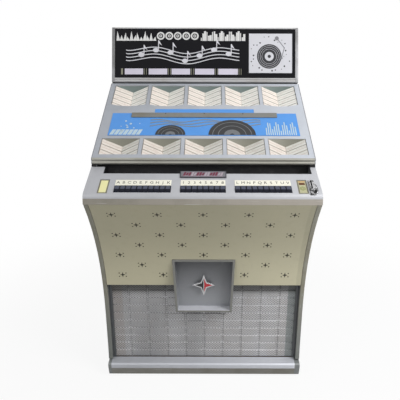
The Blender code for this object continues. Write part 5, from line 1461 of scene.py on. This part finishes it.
class DressHeader(bpy.types.Operator):
    """Header frame, black glass and its printed shapes"""

    bl_idname = "jukebox.header"
    bl_label = "Header"

    def execute(self, context):
        colours = context.scene.jukebox_colours
        light, rail_stain = (0.48, 0.48, 0.49, 1), (0.28, 0.26, 0.23, 1)
        rail = brushed_metal("header_rail", light, "x", rail_stain, 0.5, roughness=0.26)
        dark, end_stain = (0.26, 0.26, 0.27, 1), (0.12, 0.12, 0.11, 1)
        end = brushed_metal("header_end", dark, "z", end_stain, 0.6, roughness=0.42)
        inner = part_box("header_glass")[1].x + 0.0003

        def is_end(face):
            """Whether a face is on one of the frame's two ends."""
            return abs(face.calc_center_median().x) > inner

        dressed("header_frame", [rail, end], 0, pick=is_end, cuts=(-inner, inner))
        glass = plain_print("header_black", (0.006, 0.006, 0.008, 1), 0.16, shine=0.12)
        dressed("header_glass", glass, 0.0004)
        dressed("header_case", laminate("case_paint", colours.side), 0.001)
        self.prints()
        return {"FINISHED"}

    def prints(self):
        """What is printed on the glass, and the label windows in it."""
        face = HEADER @ Matrix.Translation((0, 0, -0.0015))
        white = plain_print("header_white", (0.64, 0.64, 0.68, 1), 0.3)
        self.frieze(face)
        self.music_lines(face, white)
        self.label_windows(face)
        self.picture(face, white)

    def frieze(self, face):
        """A row of peaks, five ringed discs and a row of bars."""
        pales, rings = bmesh.new(), bmesh.new()
        foot, head = FRIEZE_BAND
        for index, x in enumerate(spread(-0.368, -0.215, 12)):
            tall = foot + (head - foot) * (0.95, 0.55, 0.8, 0.4)[index % 4]
            peak = [(x - 0.008, foot), (x + 0.008, foot), (x + 0.004 * (index % 3 - 1), tall)]
            prism(pales, peak, PAINT_LAYER, face)
        middle = (foot + head) / 2 - 0.001
        for x in spread(-0.188, -0.044, 5):
            disc(pales, 0.0168, x, middle, PAINT_LAYER, face, 32)
            band(rings, x, middle, 0.0105, 0.0042, PAINT_LAYER * 1.8, face, 32)
            disc(rings, 0.0028, x, middle, PAINT_LAYER * 1.8, face, 16)
        for index, x in enumerate(spread(-0.016, 0.166, 24)):
            tall = (head - foot) * (0.30 + 0.65 * abs(math.sin(index * 0.71)))
            wide = 0.0020 + 0.0012 * (index % 3)
            prism(pales, bar_outline(x - wide, x + wide, foot, foot + tall), PAINT_LAYER, face)
        pale = plain_print("header_frieze", (0.70, 0.70, 0.69, 1), 0.25)
        add_print("header_frieze", pales, pale)
        black = plain_print("header_frieze_black", (0.008, 0.008, 0.010, 1), 0.25, shine=0.12)
        add_print("header_frieze_rings", rings, black)

    def music_lines(self, face, white):
        """Four wavy lines with seven notes on them."""
        shape = bmesh.new()
        middle = HEADER_LENGTH - 0.118
        start, end, waves = -0.335, 0.145, 21
        for line in range(4):
            rest = middle + (line - 1.5) * 0.0145
            points = []
            for x in spread(start, end, 90):
                swell = max(0, math.sin((x - start) / (end - start) * math.pi)) ** 0.5
                points.append((x, rest + 0.015 * swell * math.sin(x * waves)))
            prism(shape, ribbon_outline(points, 0.0036), PAINT_LAYER, face)
        layer = PAINT_LAYER * 1.5
        for index, x in enumerate(spread(-0.27, 0.10, 7)):
            y = middle + 0.016 * math.sin(x * waves) + (-0.008, 0.006, 0.012)[index % 3]
            stem, head = x + 0.0128, y + 0.042
            disc(shape, 0.0095, x, y, layer, face, 20, 1.35)
            prism(shape, bar_outline(x + 0.0092, stem, y, head), layer, face)
            prism(shape, [(stem, head), (stem, y + 0.029), (x + 0.0260, y + 0.020)], layer, face)
        add_print("header_music_lines", shape, white)

    def label_windows(self, face):
        """Five pale card windows between short olive dividers."""
        card = plain_print("header_card", (0.64, 0.61, 0.71, 1), 0.3)
        olive = plain_print("header_divider", (0.24, 0.24, 0.18, 1), 0.35)
        cards = bmesh.new()
        ends = []
        for left, right in HEADER_CARDS:
            block(cards, (left, CARD_BAND[0], -SINK), (right, CARD_BAND[1], 0.0004), face)
            ends += [(right + 0.0035, right + 0.0060), (right + 0.0125, right + 0.0150)]
        dividers = bmesh.new()
        for left, right in (*ends, (-0.3560, -0.3480)):
            block(dividers, (left, DIVIDER_BAND[0], -SINK), (right, DIVIDER_BAND[1], 0.0007), face)
        soften(dividers, 0.0003, 1)
        add_piece("header_cards", cards, card)
        add_piece("header_dividers", dividers, olive)

    def picture(self, face, white):
        """A white square with a record, an arm over it and scattered dots."""
        low, high = HEADER_PICTURE
        ground, marks, rings, arm = (bmesh.new() for _ in range(4))
        block(ground, (*low, -SINK), (*high, PAINT_LAYER), face)
        add_piece("header_picture", ground, white)
        ink = plain_print("header_ink", (0.03, 0.03, 0.035, 1), 0.3)
        centre_x, centre_y, margin = 0.272, HEADER_LENGTH - 0.122, 0.004
        disc(marks, 0.052, centre_x, centre_y, PAINT_LAYER * 1.6, face, 48)
        for index in range(26):
            angle = index * 2.399
            reach = 0.062 + 0.0012 * (index * 7 % 23)
            x, y = centre_x + reach * math.cos(angle), centre_y + reach * math.sin(angle)
            inside_x = low[0] + margin < x < high[0] - margin
            if inside_x and low[1] + margin < y < high[1] - margin:
                disc(marks, 0.0018 + 0.0009 * (index % 3), x, y, PAINT_LAYER * 1.6, face, 10)
        add_print("header_picture_marks", marks, ink)
        for radius, width in ((0.0465, 0.001), (0.0390, 0.001), (0.0315, 0.001), (0.0190, 0.012)):
            band(rings, centre_x, centre_y, radius, width, PAINT_LAYER * 2.2, face)
        add_print("header_picture_rings", rings, white)
        bends = ((0.118, 0.020), (0.150, 0.060), (0.138, 0.104))
        line = [(low[0] + across, high[1] - down) for across, down in bends]
        for start, end in zip(line, line[1:]):
            stroke(arm, start, end, 0.0032, PAINT_LAYER * 2.6, face)
        disc(arm, 0.0085, *line[0], PAINT_LAYER * 2.8, face, 24)
        disc(arm, 0.0050, *line[-1], PAINT_LAYER * 2.8, face, 16)
        grey = plain_print("header_grey", (0.22, 0.22, 0.24, 1), 0.3)
        add_print("header_picture_arm", arm, grey)


class DressInside(bpy.types.Operator):
    """Boards, speakers, mechanism and amplifier inside the cabinet"""

    bl_idname = "jukebox.inside"
    bl_label = "Inside"

    def execute(self, context):
        colours = context.scene.jukebox_colours
        board = bare_board("bare_board", colours.board)
        for name in ("cabinet_floor", "mechanism_shelf", "speaker_baffle"):
            dressed(name, board, 0)
        plate = zinc_plate("zinc_plate")
        for name in ("record_magazine", "mechanism_carriage", "amplifier", "coin_mechanism"):
            dressed(name, plate, 0)
        dressed("turntable_clamp", chrome("clamp_metal", 0.6), 0.0006)
        arm = plastic("arm_plastic", (0.02, 0.02, 0.022, 1), 0.35)
        dressed("tonearm", arm, 0.0005)
        cone = plastic("cone_paper", (0.035, 0.034, 0.033, 1), 0.8, grain=0.5)
        for name in ("left_woofer", "right_woofer"):
            dressed(name, cone, 0)
        return {"FINISHED"}


class DressRecords(bpy.types.Operator):
    """Records standing in the magazine"""

    bl_idname = "jukebox.records"
    bl_label = "Records"

    def execute(self, context):
        sizes = context.scene.jukebox_sizes
        centre = record_centre()
        upright = Matrix.Rotation(math.pi / 2, 4, "Y")
        black = vinyl("record_vinyl")
        paints = [
            plain_print("label_red", (0.36, 0.03, 0.03, 1), 0.5),
            plain_print("label_yellow", (0.70, 0.50, 0.10, 1), 0.5),
            plain_print("label_blue", (0.05, 0.16, 0.40, 1), 0.5),
        ]
        half = sizes.record_thickness / 2
        rim = sizes.record_radius - half
        disc_profile = [(RECORD_HOLE, -half), (rim, -half), (sizes.record_radius, 0)]
        disc_profile += [(rim, half), (RECORD_HOLE, half)]
        hole, flat = RECORD_HOLE + 0.0008, half + 0.0001
        label_profile = [(hole, -flat), (RECORD_LABEL, -flat), (RECORD_LABEL, flat), (hole, flat)]
        discs = bmesh.new()
        labels = bmesh.new()
        for index in range(RECORD_SLOTS):
            x = (index - (RECORD_SLOTS - 1) / 2) * RECORD_PITCH
            matrix = Matrix.Translation((x, centre.y, centre.z)) @ upright
            ring(discs, disc_profile, matrix)
            start = len(labels.faces)
            ring(labels, label_profile, matrix)
            labels.faces.ensure_lookup_table()
            for face in labels.faces[start:]:
                face.material_index = index % len(paints)
        add_piece("records", discs, black)
        add_piece("record_labels", labels, paints)
        return {"FINISHED"}


def ring(shape, profile, matrix, steps=48):
    """Adds a closed profile of (radius, height) turned round z, then put in place."""
    scratch = bmesh.new()
    verts = [scratch.verts.new((radius, 0, height)) for radius, height in profile]
    edges = [scratch.edges.new((verts[index - 1], verts[index])) for index in range(len(verts))]
    bmesh.ops.spin(
        scratch,
        geom=verts + edges,
        axis=(0, 0, 1),
        cent=(0, 0, 0),
        angle=math.tau,
        steps=steps,
        use_merge=True,
    )
    bmesh.ops.recalc_face_normals(scratch, faces=scratch.faces)
    bmesh.ops.transform(scratch, matrix=matrix, verts=scratch.verts)
    pour(scratch, shape)


class SetStage(bpy.types.Operator):
    """Floor, lamps, white surroundings and the camera"""

    bl_idname = "jukebox.stage"
    bl_label = "Stage"

    def execute(self, context):
        sizes = context.scene.jukebox_sizes
        self.surroundings(context.scene)
        self.floor()
        self.lamp("key_softbox", (2.1, -1.5, 2.4), (0, 0, 0.6), 1.4, 66)
        self.lamp("fill_softbox", (-2.4, -2.2, 2.6), (0, 0, 0.9), 1.6, 19)
        self.lamp("top_softbox", (0.6, 0.6, 3.4), (0, 0, 0.8), 2.6, 6)
        self.lamp("back_softbox", (0.4, 3.0, 2.2), (0, 0, 0.8), 2.2, 14)
        self.camera(context.scene, sizes)
        return {"FINISHED"}

    def surroundings(self, scene):
        """White to the eye and in reflections, dimmer as light."""
        world = bpy.data.worlds.new("studio")
        scene.world = world
        sky = NodeSet(world)
        path = sky.add("ShaderNodeLightPath")
        seen = path.maths("MAXIMUM", path, path.beside("Is Transmission Ray"))
        seen = seen.maths("MAXIMUM", seen, path.beside("Is Glossy Ray"))
        background = world.node_tree.nodes["Background"]
        background.inputs["Color"].default_value = (1, 1, 1, 1)
        sky.feed(background.inputs["Strength"], seen.ramp(0, 1, ROOM_LIGHT, 1.0))

    def floor(self):
        """A wide pale floor that keeps the jukebox's shadow."""
        shape = bmesh.new()
        bmesh.ops.create_grid(shape, x_segments=1, y_segments=1, size=14)
        mesh = mesh_of("floor", shape)
        thing = bpy.data.objects.new("floor", mesh)
        bpy.context.scene.collection.objects.link(thing)
        finish = Finish("floor_paper", (0.80, 0.80, 0.80, 1), 0.9)
        finish.wear(colour=finish.shade(finish.colour, 0.98 + finish.noise(3, 2) * 0.04))
        seen = finish.add("ShaderNodeLightPath")
        glow = finish.add("ShaderNodeEmission", sockets={"Color": (1, 1, 1, 1), "Strength": 1.0})
        surface = Wire(finish, finish.surface.outputs[0])
        x, y, _ = finish.axes()
        far = ((x**2 + y**2) ** 0.5).ramp(0.7, 2.0, 0.90, 1.0)
        mixed = finish.add("ShaderNodeMixShader", sockets={0: seen * far, 1: surface, 2: glow})
        finish.feed(finish.tree.nodes["Material Output"].inputs["Surface"], mixed)
        mesh.materials.append(finish.material)

    def lamp(self, name, place, target, size, power):
        """A square softbox, turned to its target."""
        data = bpy.data.lights.new(name, "AREA")
        data.shape = "SQUARE"
        data.size = size
        data.energy = power
        thing = bpy.data.objects.new(name, data)
        thing.location = place
        aim = Vector(target) - Vector(place)
        thing.rotation_euler = aim.to_track_quat("-Z", "Y").to_euler()
        bpy.context.scene.collection.objects.link(thing)

    def camera(self, scene, sizes):
        """The camera at the viewing angle of the reference, for a square picture."""
        data = bpy.data.cameras.new("camera")
        data.sensor_width = SENSOR_WIDTH
        data.lens = SENSOR_WIDTH * CAMERA_FOCUS / PICTURE_SIZE
        data.shift_x = 0.5 - CAMERA_AXIS / PICTURE_SIZE
        data.clip_start = 0.05
        thing = bpy.data.objects.new("camera", data)
        y = FRONT_Y - sizes.camera_distance
        thing.location = (sizes.camera_side, y, sizes.camera_height)
        down = Matrix.Rotation(math.radians(90 - CAMERA_PITCH), 4, "X")
        roll = Matrix.Rotation(math.radians(CAMERA_ROLL), 4, "Z")
        thing.rotation_euler = (down @ roll).to_euler()
        scene.collection.objects.link(thing)
        scene.camera = thing


PIECES = (
    DressCabinet,
    DressMotifs,
    DressEmblem,
    DressGrille,
    DressDeck,
    DressKeys,
    DressLid,
    DressPicture,
    DressHeader,
    DressInside,
    DressRecords,
    SetStage,
)


class JukeboxPanel(bpy.types.Panel):
    """Lists the jukebox's pieces, sizes and colours in the sidebar"""

    bl_idname = "VIEW3D_PT_jukebox"
    bl_label = "Jukebox"
    bl_space_type = "VIEW_3D"
    bl_region_type = "UI"
    bl_category = "Jukebox"

    def draw(self, context):
        for piece in PIECES:
            self.layout.operator(piece.bl_idname)
        for group in (context.scene.jukebox_sizes, context.scene.jukebox_colours):
            for name in type(group).__annotations__:
                self.layout.prop(group, name)


CLASSES = (JukeboxColours, JukeboxSizes, *PIECES, JukeboxPanel)


def register():
    """Adds the classes, and the colours and sizes of a scene."""
    for item in CLASSES:
        bpy.utils.register_class(item)
    bpy.types.Scene.jukebox_colours = bpy.props.PointerProperty(type=JukeboxColours)
    bpy.types.Scene.jukebox_sizes = bpy.props.PointerProperty(type=JukeboxSizes)


def unregister():
    """Takes the classes and the properties away again."""
    del bpy.types.Scene.jukebox_sizes
    del bpy.types.Scene.jukebox_colours
    for item in reversed(CLASSES):
        bpy.utils.unregister_class(item)


def main():
    """Makes every piece and the stage."""
    register()
    bpy.context.scene.view_settings.view_transform = "Standard"
    for piece in PIECES:
        group, name = piece.bl_idname.split(".")
        if getattr(getattr(bpy.ops, group), name)() != {"FINISHED"}:
            raise RuntimeError(piece.bl_idname + " did not finish")


if __name__ == "__main__":
    main()
